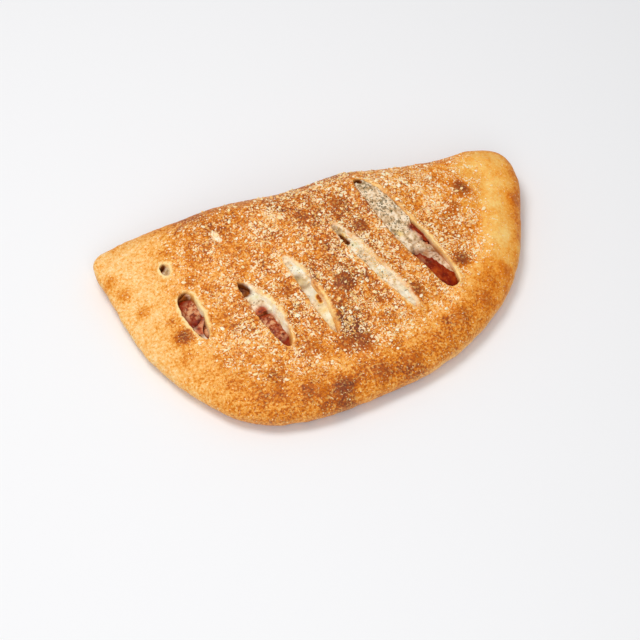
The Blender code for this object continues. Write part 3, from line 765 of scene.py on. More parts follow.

# %% [markdown]
# With the marks in hand, four numbers say what a point beside a slash is: torn inside, soaked and shaded,
# pale lip, or skirt. Soaked and shaded darkens the torn dough deeper in the slash: partly fat that soaked in,
# partly painted shade. Each is made of soft steps of the depth and of the distance to the opening. Noise
# makes that distance uneven, so that no lip or skirt ends in a line.

# %% The dough in and beside the slashes
crust_spot = (crust_x, crust_y)
_, crust_inward = polar(*crust_spot)
on_top = crust_inward > 5.0
crust_depth = fine_top(*crust_spot) - crust_z
crust_near = slit_distance(*crust_spot)
crust_side = slit_side(*crust_spot)
away = layered(crust_near, *crust_spot, 5.0, (0.7, 2.2), (0.4, 1.0))
inside_slash = smooth((crust_depth - 0.7) / 0.8) * smooth((1.3 - crust_near) / 0.5) * on_top
# Darker deeper in the slash: partly fat soaked into the dough, partly painted shade.
soaked = smooth((crust_depth - 1.2 - 2.2 * crust_white) / 2.2) * (crust_near < 1.0) * on_top
skirt_mark = np.minimum(marked(*crust_spot, SKIRTS), 1.0) * on_top
skirt = smooth((3.4 - away) / 3.8) * skirt_mark
torn_lip = smooth((0.7 - away) / 1.4) * crust_white * on_top
cream_skirt = smooth((1.1 + 1.2 * crust_side - away) / 1.5) * skirt_mark
inside_slash = np.maximum(inside_slash, np.maximum(torn_lip, 0.9 * cream_skirt))
both_sides = np.maximum(crust_side, marked(*crust_spot, EVEN_LIPS))
lip = np.exp(-(((away - 0.4) / 1.0) ** 2)) * on_top * (crust_depth < 2.6)
lip = lip * (0.2 + 0.8 * both_sides) * marked(*crust_spot, PALE_LIPS)
dimple = leaf_place(VENT_DIMPLE, *crust_spot)[2] + 0.8 * noise(*crust_spot, 6.0, 2.0)
dimple = smooth(-dimple / 0.8) * (crust_z > 20.0)
print("share of the crust's points that are torn inside:", (inside_slash > 0.5).mean().round(3))

# %% [markdown]
# The grated cheese was thrown over the middle and the back. Its density fades towards the rim and both tips,
# and it gathers in drifts. It could be thrown on by a particle system, but then the powder, the chips and the
# crumbs would not agree. So one density drives all three: the powder here in the crust's colour, and the
# chips and crumbs further down. A drift is a place and a radius.

# %% Where the grated cheese fell
DRIFTS = (
    (-27, 37, 11.0), (-36, 27, 8.0), (59, 42, 12.0), (62, 27, 9.0), (-55, -13, 10.0), (5, -18, 7.0),
    (22, -9, 9.0), (-12, 22, 8.0), (78, 15, 7.0), (-47, -22, 8.0), (-25, 18, 6.0), (40, 45, 7.0),
    (24, 8, 10.0), (-58, 8, 8.0), (-62, -20, 8.0), (-56, -2, 6.0),
)


def cheese_density(x, y):
    """0 where no grated cheese fell, 1 where it lies thickest: where it was thrown, times noise and drift."""
    angle, inward = polar(x, y)
    spread = smooth((inward - 12.0 + 9.0 * fold_share(angle)) / 13.0)
    spread = spread * smooth((x + 96.0) / 42.0) * smooth((102.0 - x) / 26.0)
    spread = spread * (1.0 - 0.7 * round_bump(x, y, -56.0, 52.0, 32.0))
    spread = spread * (1.0 - 0.5 * round_bump(x, y, -18.0, -40.0, 15.0))
    spread = spread * (1.0 - 0.6 * fold_share(angle) * bump(inward, 13.0) * smooth((20.0 - x) / 40.0))
    drift = np.max([round_bump(x, y, *place) for place in DRIFTS], axis=0)
    uneven = layered(0.48, x, y, 9.0, (0.40, 9.0), (0.45, 3.5))
    return np.clip(spread * (uneven + 0.55 * drift), 0.0, 1.0)


print("mean density of the grated cheese:", cheese_density(*crust_spot).mean().round(2))

# %% [markdown]
# All of that is stored with the mesh, one number for each point and name, and the crust's finish reads it.
# Besides what was named above: `white` says how pale the torn dough is, `calm` where a blister is smooth,
# `gold` how golden the right part is, `pit` where a pit is painted dark as shade, `under` the base, and the
# foot number the pale band low on the side, partly paler dough and partly a painted reflection of light from
# the floor.

# %% What the crust's finish will read
FOOT_HEIGHT, FOOT_SPREAD = 6.0, 2.6
# A pale band low on the side: partly paler dough, partly a painted reflection of light from the floor.
foot = np.exp(-(((crust_z - FOOT_HEIGHT) / FOOT_SPREAD) ** 2)) * smooth((9.0 - crust_inward) / 3.0)
paint(
    crust,
    toast=crust_toast - 0.26 * lip - 0.34 * skirt,
    inside=np.maximum(inside_slash, dimple),
    soaked=soaked,
    white=np.maximum(crust_white, dimple),
    lip=lip,
    powder=cheese_density(*crust_spot) * off_blisters(*crust_spot) * (crust_near > 0.3),
    # Painted shade in the dark pits.
    gold=smooth((crust_x - 45.0) / 45.0),
    calm=blister_share(*crust_spot),
    pit=painted_pit_shade(*crust_spot, crust_depth),
    under=smooth((1.2 - crust_z) / 1.0),
    # Stronger towards the right: partly paler dough, partly painted reflection.
    foot=foot * (0.35 + 0.65 * smooth(crust_x / 40.0)),
)
stored = [layer.name for layer in crust.data.attributes if layer.data_type == "FLOAT"]
print("stored for each point of the crust:", stored)

# %% [markdown]
# ## Materials
#
# Every material is a small graph of nodes. It could be clicked together in the Shader Editor, but in code the
# same few moves come back again and again, so each is a helper: a noise of a given size in millimetres, a
# soft threshold, sums, a mix of two colours, a ramp and a bump. Patterns read object coordinates, so they
# stay on the food wherever the camera goes.

# %% Node helpers
def colour(red, green, blue):
    """A colour as a paint chart gives it, 0 to 255, turned into the linear light that nodes use."""
    channels = np.array([red, green, blue]) / 255
    linear = np.where(channels > 0.04045, ((channels + 0.055) / 1.055) ** 2.4, channels / 12.92)
    return (*linear, 1.0)


def feed(socket, value):
    """Links a socket to the one that feeds it, or gives it a value."""
    if isinstance(value, bpy.types.NodeSocket):
        socket.id_data.links.new(value, socket)
    else:
        socket.default_value = value


def node(tree, kind, inputs, **settings):
    """A node with its settings, and each input given a value or the socket that feeds it."""
    made = tree.nodes.new(kind)
    for name, value in settings.items():
        setattr(made, name, value)
    for name, value in inputs.items():
        feed(made.inputs[name], value)
    return made


def combined(tree, operation, *values):
    """Two or three numbers, or sockets, put together."""
    made = node(tree, "ShaderNodeMath", {}, operation=operation)
    for socket, value in zip(made.inputs, values):
        feed(socket, value)
    return made.outputs[0]


def painted(tree, name, share=1.0):
    """The number stored at each point under this name, times the share."""
    stored = node(tree, "ShaderNodeAttribute", {}, attribute_name=name).outputs["Fac"]
    return stored if share == 1.0 else combined(tree, "MULTIPLY", stored, share)


def grain(tree, size, detail=2.0, roughness=0.5, offset=0.0):
    """Noise from 0 to 1 with features about `size` millimetres wide."""
    place = node(tree, "ShaderNodeTexCoord", {}).outputs["Object"]
    values = {"Vector": place, "Location": (offset, offset, offset)}
    place = node(tree, "ShaderNodeMapping", values).outputs[0]
    values = {"Vector": place, "Scale": 0.5 / (size * MM), "Detail": detail, "Roughness": roughness}
    return node(tree, "ShaderNodeTexNoise", values).outputs["Fac"]


def threshold(tree, value, low, high, top=1.0, bottom=0.0):
    """A soft step from bottom to top while the value goes from low to high."""
    values = {"Value": value, "From Min": low, "From Max": high, "To Min": bottom, "To Max": top}
    return node(tree, "ShaderNodeMapRange", values, interpolation_type="SMOOTHSTEP").outputs["Result"]


def mixed(tree, factor, first, second, blend="MIX"):
    """The second colour laid over the first. A Mix node keeps its colour sockets at places 6 and 7."""
    made = node(tree, "ShaderNodeMix", {}, data_type="RGBA", blend_type=blend)
    for place, value in ((0, factor), (6, first), (7, second)):
        feed(made.inputs[place], value)
    return made.outputs[2]


def ramp(tree, value, stops):
    """A colour for each value: stops are (place, colour)."""
    made = node(tree, "ShaderNodeValToRGB", {"Fac": value})
    elements = made.color_ramp.elements
    while len(elements) < len(stops):
        elements.new(1.0)
    for element, (place, shade) in zip(elements, stops):
        element.position = place
        element.color = shade
    return made.outputs["Color"]


def bumped(tree, height, distance, strength=1.0):
    """A relief of this height in millimetres, seen only in how the light falls."""
    values = {"Height": height, "Distance": distance * MM, "Strength": strength}
    return node(tree, "ShaderNodeBump", values).outputs["Normal"]


def set_shader(shader, **values):
    """Gives each named input of the shader its value, or the socket that feeds it."""
    for name, value in values.items():
        feed(shader.inputs[name.replace("_", " ")], value)


def new_finish(name, **values):
    """A material, its graph and its shader, with the values that are the same all over."""
    finish = bpy.data.materials.new(name)
    finish.use_nodes = True
    shader = finish.node_tree.nodes["Principled BSDF"]
    set_shader(shader, **values)
    return finish, finish.node_tree, shader


print("linear value of mid grey:", round(float(colour(128, 128, 128)[0]), 3))

# %% [markdown]
# The crust's colour follows the toast through a ramp of seven browns. Fine noise shifts the toast, because
# the real skin is mottled by tiny bubbles, each paler than the dough round it. It does so less on a dark
# blister and in the golden right part, and more where powder fell. A photograph wrapped onto the mesh would
# be quicker, but it holds one light and one side only.

# %% The crust's finish: the baked skin
crust_finish, tree, shader = new_finish(
    "baked crust", Subsurface_Weight=0.05, Subsurface_Scale=0.002, Subsurface_Radius=(1.0, 0.5, 0.25),
    Specular_IOR_Level=0.16,
)
mottle = combined(tree, "SUBTRACT", grain(tree, 0.7, detail=3.0, roughness=0.75), 0.5)
bubbles = threshold(tree, grain(tree, 0.65, offset=3.1), 0.53, 0.64)
lively = threshold(tree, painted(tree, "calm"), 0.0, 1.0, top=0.8, bottom=1.25)
for name, most in (("gold", 0.55), ("powder", 1.35)):
    livelier = threshold(tree, painted(tree, name), 0.0, 1.0, top=most, bottom=1.0)
    lively = combined(tree, "MULTIPLY", lively, livelier)
toast = combined(tree, "MULTIPLY_ADD", mottle, lively, painted(tree, "toast"))
skin_colour = ramp(tree, toast, (
    (0.00, colour(255, 228, 180)), (0.20, colour(252, 206, 138)), (0.40, colour(244, 170, 76)),
    (0.56, colour(222, 128, 22)), (0.72, colour(186, 92, 14)), (0.88, colour(146, 72, 32)),
    (1.00, colour(116, 58, 36)),
))
pale_bubbles = combined(tree, "MULTIPLY", bubbles, combined(tree, "MULTIPLY", lively, 0.42))
skin_colour = mixed(tree, pale_bubbles, skin_colour, colour(254, 204, 118))
skin_colour = mixed(tree, painted(tree, "gold", 0.75), skin_colour, colour(255, 240, 174), blend="MULTIPLY")
print("the skin's graph has", len(tree.nodes), "nodes")

# %% [markdown]
# Over the skin lie, one after the other, specks of powder in loose clusters, the torn inside of the dough
# with its parts soaked with fat and painted with shade, the pale lips, the pale foot with its painted
# reflection of light from the floor, the painted shade in the dark pits and the toasted base. Each is one mix
# of two colours, by the number that was stored for it.

# %% The crust's finish: what lies over the skin
clusters = combined(tree, "SUBTRACT", grain(tree, 1.9, detail=3.0, roughness=0.7, offset=11.3), 0.5)
clusters = combined(tree, "MULTIPLY", clusters, 1.1)
powder = combined(tree, "ADD", painted(tree, "powder", 0.16), clusters)
powder = combined(tree, "MULTIPLY", powder, threshold(tree, painted(tree, "powder"), 0.0, 0.2))
powder = combined(tree, "ADD", grain(tree, 0.5, detail=1.0, offset=7.7), powder)
powder = threshold(tree, powder, 0.68, 0.76, top=0.9)
crumb_colour = ramp(tree, grain(tree, 1.6, detail=4.0), (
    (0.30, colour(250, 224, 178)), (0.50, colour(255, 242, 214)), (0.70, colour(255, 250, 236)),
))
crumb_colour = mixed(tree, painted(tree, "white"), colour(232, 166, 84), crumb_colour)
# Brown deeper in a slash: partly soaked fat, partly painted shade.
crumb_colour = mixed(tree, painted(tree, "soaked", 0.8), crumb_colour, colour(172, 90, 34))
base_colour = ramp(tree, grain(tree, 6.0, detail=4.0), (
    (0.30, colour(142, 88, 48)), (0.50, colour(196, 138, 82)), (0.70, colour(228, 184, 126)),
))
for share, over in (
    (powder, colour(255, 233, 192)),
    (painted(tree, "inside"), crumb_colour),
    (painted(tree, "lip", 0.6), colour(255, 224, 156)),
    # Pale foot: partly paler dough, partly a painted reflection of light from the floor.
    (painted(tree, "foot", 0.5), colour(252, 214, 150)),
    # Painted shade in the dark pits.
    (painted(tree, "pit"), colour(128, 62, 14)),
    (painted(tree, "under"), base_colour),
):
    skin_colour = mixed(tree, share, skin_colour, over)
bubble_height = combined(tree, "MULTIPLY", bubbles, 0.4)
fine_height = combined(tree, "ADD", grain(tree, 0.9, detail=3.0), bubble_height)
set_shader(
    shader,
    Base_Color=skin_colour,
    Roughness=threshold(tree, mottle, -0.3, 0.3, top=0.66, bottom=0.42),
    Normal=bumped(tree, fine_height, 0.35, 0.6),
)
crust.data.materials.clear()
crust.data.materials.append(crust_finish)
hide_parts("crust")
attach(crust, "root")
print("the crust's graph has", len(tree.nodes), "nodes")

# %% [markdown]
# ## The filling
#
# Under the dough lies the filling: grainy ricotta flecked with herbs, and cheese that melted smooth. Only
# what wells up into the slashes shows, so the mesh is fine there and coarse elsewhere. It could be a fluid
# simulation, but that would not put each patch of cheese where the real roll has it. So each row below says,
# for a share of one slash, how far under the crust the cheese rises, and how far it leans over the dough.
# The dark pits are pressed into it, and strands of it melted over a slice.

# %% The form of the filling
GAP = 0.4  # between the dough and what lies against it
SLACK = 1.7  # the filling keeps this far below the roof, and three times as far from the rim
SLICE_THICKNESS = 2.0
FINEST_FILLING_EDGE, FILLING_EDGE, BASE_FILLING_EDGE = 0.42, 5.0, 8.0
Cheese = namedtuple("Cheese", "slit first last depth over")
CHEESE = (
    Cheese("vent_tip", 0.15, 1.0, 2.0, 0.2),
    Cheese("slash_1", 0.0, 0.99, 1.3, 0.3),
    Cheese("slash_2", 0.0, 0.26, 4.0, 0.3),
    Cheese("slash_2", 0.18, 0.36, 1.1, 0.6),
    Cheese("slash_2", 0.30, 0.56, 2.2, 0.3),
    Cheese("slash_3", 0.0, 0.42, 0.35, 0.9),
    Cheese("slash_3", 0.36, 0.99, 2.0, 0.4),
    Cheese("slash_4", 0.0, 1.0, 0.5, 0.9),
    Cheese("slash_5", 0.0, 0.62, 0.4, 0.5),
)
# Strands of cheese that melted over a slice: two ends, and half the width at each.
STRANDS = (
    ((40, 8.4), (49.2, 1.2), 4.8, 4.2), ((49.2, 1.2), (57, -10), 4.0, 2.0), ((-41, -6), (-37, -15), 2.2, 1.8),
    ((-37, -15), (-34, -25), 1.8, 0.9),
)
STRAND_RISE = 0.6
# Where what lies in a slash swells up into it: place, radius and rise.
SWELL = (
    (-78, 4, 17.0, 2.9), (-79, 11, 8.0, 3.1), (-72, -9, 10.0, 2.9), (-42, -18, 20.0, 2.4),
    (50, 12, 13.0, 3.0), (50, -13, 18.0, 2.8),
)


def off_slices(x, y):
    """0 over a slice of pepperoni and 1 away from them: a soft step at each rim, multiplied together."""
    bare = 1.0
    for sx, sy, radius in SLICES.values():
        bare = bare * smooth((np.hypot(x - sx, y - sy) - 0.985 * radius) / 0.5)
    return bare


def swell(x, y):
    """How far what lies in a slash swells up into it: the highest of SWELL, and nothing outside a slash."""
    rises = [most * round_bump(x, y, mx, my, radius) ** 0.35 for mx, my, radius, most in SWELL]
    return np.max(rises, axis=0) * smooth((0.6 - slit_distance(x, y)) / 0.6)


def strand_share(x, y):
    """1 along the middle of a strand, falling to 0 at its ragged sides, in step with the distance to it."""
    ragged = layered(1.0, x, y, 8.0, (0.35, 2.2), (0.2, 1.0))
    share = 0.0
    for (ax, ay), (bx, by), wide, narrow in STRANDS:
        dx, dy = bx - ax, by - ay
        t = np.clip(((x - ax) * dx + (y - ay) * dy) / math.hypot(dx, dy) ** 2, 0.0, 1.0)
        away = np.hypot(x - ax - t * dx, y - ay - t * dy) * ragged
        share = np.maximum(share, 1.0 - away / (wide + (narrow - wide) * t))
    return np.clip(share, 0.0, 1.0)


def filling_top(x, y):
    """The body of the filling, the cheese that wells up into each slash, less the pits, and the strands."""
    height = ceiling(x, y, SLACK) - 0.6 + 0.4 * np.sin(x / 3.1) * np.sin(y / 2.7 + 0.9)
    bare = off_slices(x, y)
    low = ceiling(x, y) - GAP - SLICE_THICKNESS - 0.4
    for row in CHEESE:
        t, _, outside = leaf_place(SLITS[row.slit], x, y)
        outside = layered(outside, x, y, 7.0, (0.5, 2.4), (0.25, 1.1))
        t = t + 0.03 * noise(x, y, 5.0, 2.4)
        reach = smooth((row.over - outside) / 0.8) * smooth((t - row.first + 0.05) / 0.1)
        reach = reach * smooth((row.last + 0.02 - t) / 0.06)
        mound = layered(crust_top(x, y) - row.depth, x, y, 3.0, (0.4, 2.6), (0.22, 1.1)) - 0.3
        height = height + reach * np.maximum(low + bare * (mound - low) - height, 0.0)
    for hx, hy, radius, deep in HOLLOWS:
        height = height - deep * round_bump(x, y, hx, hy, radius) ** 0.6
    height = np.where(bare < 1.0, np.minimum(height, low + bare * np.maximum(height - low, 0.0)), height)
    share = strand_share(x, y)
    strand = ceiling(x, y) - GAP - 0.4 + swell(x, y)
    strand = strand + STRAND_RISE * np.sqrt(share) + 0.25 * noise(x, y, 3.0, 1.3)
    return np.where(share > 0.0, np.maximum(height, strand), height)


def filling_point(unit):
    """The unit ball wrapped onto the filling: the hollow drawn in a little, with the filling's own top."""
    points = pocket_point(unit, GAP, SLACK)
    points[:, 2] = np.where(unit[:, 2] > 0.3, filling_top(points[:, 0], points[:, 1]), points[:, 2])
    return points


def filling_edge(points):
    """The longest edge allowed: finest at a slash, growing with the distance from it, coarse on the base."""
    near = slit_distance(points[:, 0], points[:, 1])
    longest = np.clip(FINEST_FILLING_EDGE + near - 0.5, FINEST_FILLING_EDGE, FILLING_EDGE)
    return np.where(points[:, 2] < FLOOR + 1.0, BASE_FILLING_EDGE, longest)


filling = object_from("cheese_filling", *wrapped_ball(filling_point, filling_edge))
print("filling:", len(filling.data.polygons), "triangles")

# %% [markdown]
# Which part of the filling is smooth cheese, which is grainy and full of herbs, and where the slices and the
# oil coloured it, differs from slash to slash. The marks below say so in the same way as those of the crust:
# a place, a radius and a strength each.

# %% What the filling is like, place by place
# Where it melted smooth.
SMOOTH_CHEESE = (
    (-45, 0, 6.0, 1.0), (-40, -10, 7.0, 0.8), (-20, 6, 8.0, 1.0), (-17, -8, 8.0, 0.9), (-13, -22, 9.0, 1.0),
    (12, 10, 7.0, 0.9), (20, -6, 9.0, 0.9), (28, -22, 9.0, 0.7), (-75, -10, 5.0, 0.7),
)
# Where it is full of herbs.
HERBY = (
    (30, 42, 14.0, 1.0), (34, 30, 15.0, 1.0), (38, 16, 12.0, 0.9), (52, -1, 9.0, 0.9), (8, 12, 6.0, 0.4),
    (13, 2, 8.0, 0.45), (19, -10, 7.0, 0.4), (-22, 6, 7.0, 0.5), (-82, 31, 4.0, 0.5),
)
# Where the melted fat of the slices coloured it red.
MEATY = (
    (-77, 2, 13.0, 1.6), (-79, 12, 5.0, 1.4), (-75, -7, 7.0, 1.3), (45.4, 14.5, 4.2, 1.6),
    (48, 10, 3.8, 1.5), (50.5, 6.5, 3.0, 1.3), (-44.5, -9.5, 5.0, 2.0), (-41.5, -13, 4.0, 1.6),
)
# Where it is in shade and greenish.
OLIVE = (
    (5.5, 20, 6.0, 0.9), (-22.5, 0.5, 4.6, 1.2), (-20.5, -3.5, 4.0, 0.8), (-49, 6, 5.0, 0.7),
    (28, 45, 7.0, 0.35), (-83, 32, 6.0, 0.5), (-17, -9, 6.0, 0.25), (-12, -28, 7.0, 0.15),
)
# Where oil soaked it.
OILY = (
    (37, 12, 4.0, 0.4), (-14.5, -11.6, 3.0, 1.5), (-14.6, -13.8, 2.4, 1.2), (-15, -19, 12.0, 0.30),
    (-20, -2, 6.0, 0.2), (-12, -26, 7.0, 0.30), (7, 16, 4.0, 0.4),
)

filling_x, filling_y, filling_z = points_of(filling)
filling_spot = (filling_x, filling_y)
filling_depth = crust_top(*filling_spot) - filling_z
paint(
    filling,
    smooth_cheese=marked(*filling_spot, SMOOTH_CHEESE),
    herby=marked(*filling_spot, HERBY),
    oily=marked(*filling_spot, OILY) * (1.0 + 0.6 * noise(*filling_spot, 2.0, 2.6)),
    # Painted shade: darker and browner deeper under the crust and in the dark pits.
    deep=np.maximum(smooth((filling_depth - 3.2) / 3.0), painted_pit_shade(*filling_spot, filling_depth)),
    olive=marked(*filling_spot, OLIVE),
    meaty=marked(*filling_spot, MEATY),
    rosy=(1.0 - off_slices(*filling_spot)) * (0.4 + 0.6 * (strand_share(*filling_spot) == 0.0)),
)
print("points under herbs:", int((marked(*filling_spot, HERBY) > 0.3).sum()))

# %% [markdown]
# The ricotta is a warm grey-white with brown shadows between its grains, the melted cheese is cream, and
# herbs show as dark flecks. In shade it is olive, oil makes a patch amber, by a slice it is rosy or red, and
# deeper in a slash and in the dark pits it is painted dark brown as shade. Separate materials would leave
# hard borders between them, so it is one, and each look is laid over the last by its own stored number.

# %% The filling's finish
filling_finish, tree, shader = new_finish(
    "ricotta and melted cheese", Subsurface_Weight=0.12, Subsurface_Scale=0.003,
    Subsurface_Radius=(1.0, 0.8, 0.5), Specular_IOR_Level=0.2,
)
grains = grain(tree, 1.2, detail=3.0)
ricotta = ramp(tree, grains, (
    (0.34, colour(188, 150, 106)), (0.47, colour(230, 198, 158)), (0.60, colour(252, 230, 200)),
))
melted = ramp(tree, grain(tree, 2.0, detail=3.0), (
    (0.30, colour(224, 212, 164)), (0.60, colour(254, 248, 226)),
))
flecks = combined(tree, "ADD", grain(tree, 0.6, detail=1.0, offset=2.3), painted(tree, "herby", 0.19))
oil_colour = ramp(tree, painted(tree, "oily"), (
    (0.30, colour(244, 208, 122)), (0.60, colour(226, 152, 56)), (1.00, colour(160, 74, 4)),
))
reds = ramp(tree, grain(tree, 1.5, detail=4.0), (
    (0.38, colour(110, 32, 8)), (0.50, colour(178, 72, 24)), (0.66, colour(214, 142, 100)),
))
# Browns painted as shade deep in a slash and in the pits.
shade_browns = ramp(tree, grain(tree, 1.4), ((0.35, colour(92, 38, 8)), (0.70, colour(178, 98, 34))))
filling_colour = ricotta
for share, over in (
    (painted(tree, "smooth_cheese"), melted),
    (threshold(tree, flecks, 0.66, 0.76, top=0.75), colour(112, 94, 62)),
    (painted(tree, "olive", 0.85), colour(148, 110, 58)),
    (threshold(tree, painted(tree, "oily"), 0.0, 0.55), oil_colour),
    (painted(tree, "rosy", 0.5), colour(196, 120, 96)),
    (painted(tree, "meaty"), reds),
    # Painted shade deep in a slash and in the pits.
    (painted(tree, "deep"), shade_browns),
):
    filling_colour = mixed(tree, share, filling_colour, over)
set_shader(
    shader,
    Base_Color=filling_colour,
    Roughness=threshold(tree, painted(tree, "oily"), 0.0, 1.0, top=0.22, bottom=0.5),
    Normal=bumped(tree, grains, 0.5, 0.6),
)
filling.data.materials.append(filling_finish)
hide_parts("filling")
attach(filling, "root")
print("the filling's graph has", len(tree.nodes), "nodes")

# %% [markdown]
# ## Pepperoni
#
# Five slices show through the slashes. A slice is a thin disc with a rounded rim, draped under the dough, and
# pitted, because its fat melted out in the oven. A squashed cylinder could be bent into place with modifiers,
# but a formula lays it exactly under the dough. Its surface is a grid of two numbers: the turn round the
# disc, and the way from the middle of the top over the rim to the middle of the bottom.

# %% The slices
ROUND, OVER = 200, 80  # points round the disc, and over its rim


def grid_faces(rows, columns):
    """Triangles of a grid that is closed across its columns, with a point of its own past each end row."""
    row, column = np.meshgrid(np.arange(rows - 1), np.arange(columns), indexing="ij")
    a, b = row * columns + column, row * columns + (column + 1) % columns
    c, d = a + columns, b + columns
    quads = np.stack([a, c, d, b], axis=-1).reshape(-1, 4)
    here = np.arange(columns)
    after = (here + 1) % columns
    first_pole, last_row = rows * columns, (rows - 1) * columns
    top = np.stack([np.full(columns, first_pole), here, after], axis=1)
    bottom = np.stack([np.full(columns, first_pole + 1), last_row + after, last_row + here], axis=1)
    return np.concatenate([quads[:, [0, 1, 2]], quads[:, [0, 2, 3]], top, bottom])


def slice_points(cx, cy, radius):
    """A disc with an uneven rim: x and y from a circle, z from the roof less half a rounded thickness."""
    half = SLICE_THICKNESS / 2 - 0.1
    over = np.linspace(0.02, 0.98, OVER)[:, None] * math.pi
    turn = np.arange(ROUND)[None, :] * 2 * math.pi / ROUND
    reach = radius * np.sin(over) ** 0.7 * (1.0 + 0.02 * np.sin(3 * turn + cx) + 0.012 * np.sin(7 * turn))
    x, y = cx + reach * np.cos(turn), cy + reach * np.sin(turn)
    lift = np.sign(np.cos(over)) * np.abs(np.cos(over)) ** 0.4 * half + 0.0 * turn
    poles = [[cx, cy, half], [cx, cy, -half]]
    points = np.concatenate([np.stack([x, y, lift], axis=-1).reshape(-1, 3), poles])
    x, y, lift = points.T
    pits = layered(0.0, x, y, cx, (0.22, 1.7), (0.12, 0.8)) - 0.1
    raised = np.where(lift > 0.0, pits + swell(x, y), 0.0)
    points[:, 2] = ceiling(x, y) - GAP - SLICE_THICKNESS / 2 + lift + raised
    return points


slices = {name: object_from(name + "_slice", slice_points(*place), grid_faces(OVER, ROUND))
          for name, place in SLICES.items()}
print("each slice:", len(slices["pepperoni_1"].data.polygons), "triangles")

# %% [markdown]
# Pepperoni is deep red and mottled, with paler dots of fat and dark ones of pepper. Where cheese pulled off
# it, a thin pinkish film is left. Dots could be small pieces of their own, but they lie flush in the meat, so
# noise with a threshold is truer. The film is marked where the photograph shows it.

# %% The pepperoni's finish
FILM = (
    (-76, 6, 8.0, 1.4), (-72, -8, 5.0, 1.2), (-42, -16, 8.0, 1.2), (-38, -23, 5.0, 1.2), (45, -3, 5.0, 0.4),
)
meat_finish, tree, shader = new_finish("pepperoni", Specular_IOR_Level=0.12)
meat = ramp(tree, grain(tree, 2.4, detail=4.0), (
    (0.30, colour(88, 12, 0)), (0.50, colour(136, 34, 2)), (0.72, colour(182, 74, 16)),
))
pale_meat = ramp(tree, grain(tree, 1.3, detail=4.0, offset=8.4), (
    (0.38, colour(100, 36, 8)), (0.47, colour(178, 80, 30)), (0.56, colour(228, 170, 122)),
))
film = grain(tree, 1.0, detail=4.0, roughness=0.75, offset=5.1)
film = combined(tree, "ADD", film, painted(tree, "film", 0.16))
for share, over in (
    (threshold(tree, grain(tree, 0.6, offset=1.7), 0.62, 0.72, top=0.5), colour(210, 116, 62)),
    (painted(tree, "film", 0.85), pale_meat),
    (threshold(tree, film, 0.64, 0.80, top=0.85), colour(222, 166, 122)),
    (threshold(tree, grain(tree, 0.7, offset=15.2), 0.66, 0.74, top=0.7), colour(66, 20, 8)),
):
    meat = mixed(tree, share, meat, over)
set_shader(
    shader,
    Base_Color=meat,
    Roughness=threshold(tree, grain(tree, 1.9), 0.3, 0.7, top=0.55, bottom=0.30),
    Normal=bumped(tree, grain(tree, 0.8, detail=3.0), 0.4, 0.6),
)
for name, meat_slice in slices.items():
    slice_x, slice_y, _ = points_of(meat_slice)
    paint(meat_slice, film=marked(slice_x, slice_y, FILM))
    meat_slice.data.materials.append(meat_finish)
    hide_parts(name)
    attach(meat_slice, "root")
print("slices made:", len(slices))

# %% [markdown]
# ## Grated cheese
#
# The grated cheese is thousands of small angular chips. They could be instances of a few forms, but then some
# would look alike. So each is a ball of twenty faces whose corners are pushed about, flattened, turned and
# sunk into the crust. All of them are worked out together, as one array of chips by corners, and make one
# mesh.

# %% Many small chips at once
def twenty_faces():
    """The corners and faces of a regular ball of twenty triangles."""
    bm = bmesh.new()
    bmesh.ops.create_icosphere(bm, subdivisions=1, radius=1.0)
    corners = np.array([corner.co[:] for corner in bm.verts])
    faces = np.array([[corner.index for corner in face.verts] for face in bm.faces])
    bm.free()
    return corners, faces


def eight_faces():
    """The corners and faces of an octahedron."""
    axes = np.eye(3)
    return np.concatenate([axes, -axes]), EIGHT_FACES


def chips(ball, places, sizes, flatness, ragged, random):
    """Points and faces of chips at (n, 3) places: balls made ragged and flat, tilted, turned and sized."""
    corners, faces = ball
    count = len(places)
    form = corners[None] * random.uniform(1.0 - ragged, 1.0 + ragged, (count, len(corners), 1))
    long, wide = random.uniform(0.7, 1.3, count), random.uniform(0.45, 1.0, count)
    form = form * np.stack([long, wide, flatness], axis=1)[:, None]
    turn, tilt = random.uniform(0, 2 * math.pi, count)[:, None], random.normal(0.0, 0.35, count)[:, None]
    x, y, z = np.moveaxis(form, 2, 0)
    y, z = y * np.cos(tilt) - z * np.sin(tilt), y * np.sin(tilt) + z * np.cos(tilt)
    x, y = x * np.cos(turn) - y * np.sin(turn), x * np.sin(turn) + y * np.cos(turn)
    points = np.stack([x, y, z], axis=-1) * (sizes / 2)[:, None, None] + places[:, None]
    every = faces[None] + len(corners) * np.arange(count)[:, None, None]
    return points.reshape(-1, 3), every.reshape(-1, 3)


print("a chip has", len(twenty_faces()[1]), "faces")

# %% [markdown]
# The hundred largest chips lie at the same places as on the solid crust, drawn in the same way from the same
# seed. Thousands of finer ones follow the density, so that drifts and bare places come out uneven: places are
# tried all over the roll, and each is kept with a chance that the density gives.

# %% Places for the chips
CRUMB_COUNT = 100
CRUMB_SIZES = (3.0, 1.7)
CRUMB_FIELD = ((-92, -58), (100, 62))
CRUMB_CLEARANCE = 2.6  # from a slash
CRUMB_SPACING = 0.9  # of two sizes added, between two of them
CRUMB_SEED = 11
CHIP_FIELD = ((-100, -62), (106, 70))
CHIP_TRIES = 26000
CHIP_CHANCE = 0.26  # of a try where the cheese lies thickest
CHIP_SIZE, CHIP_MORE = 0.8, 1.6  # the smallest, and how much larger a chip may be


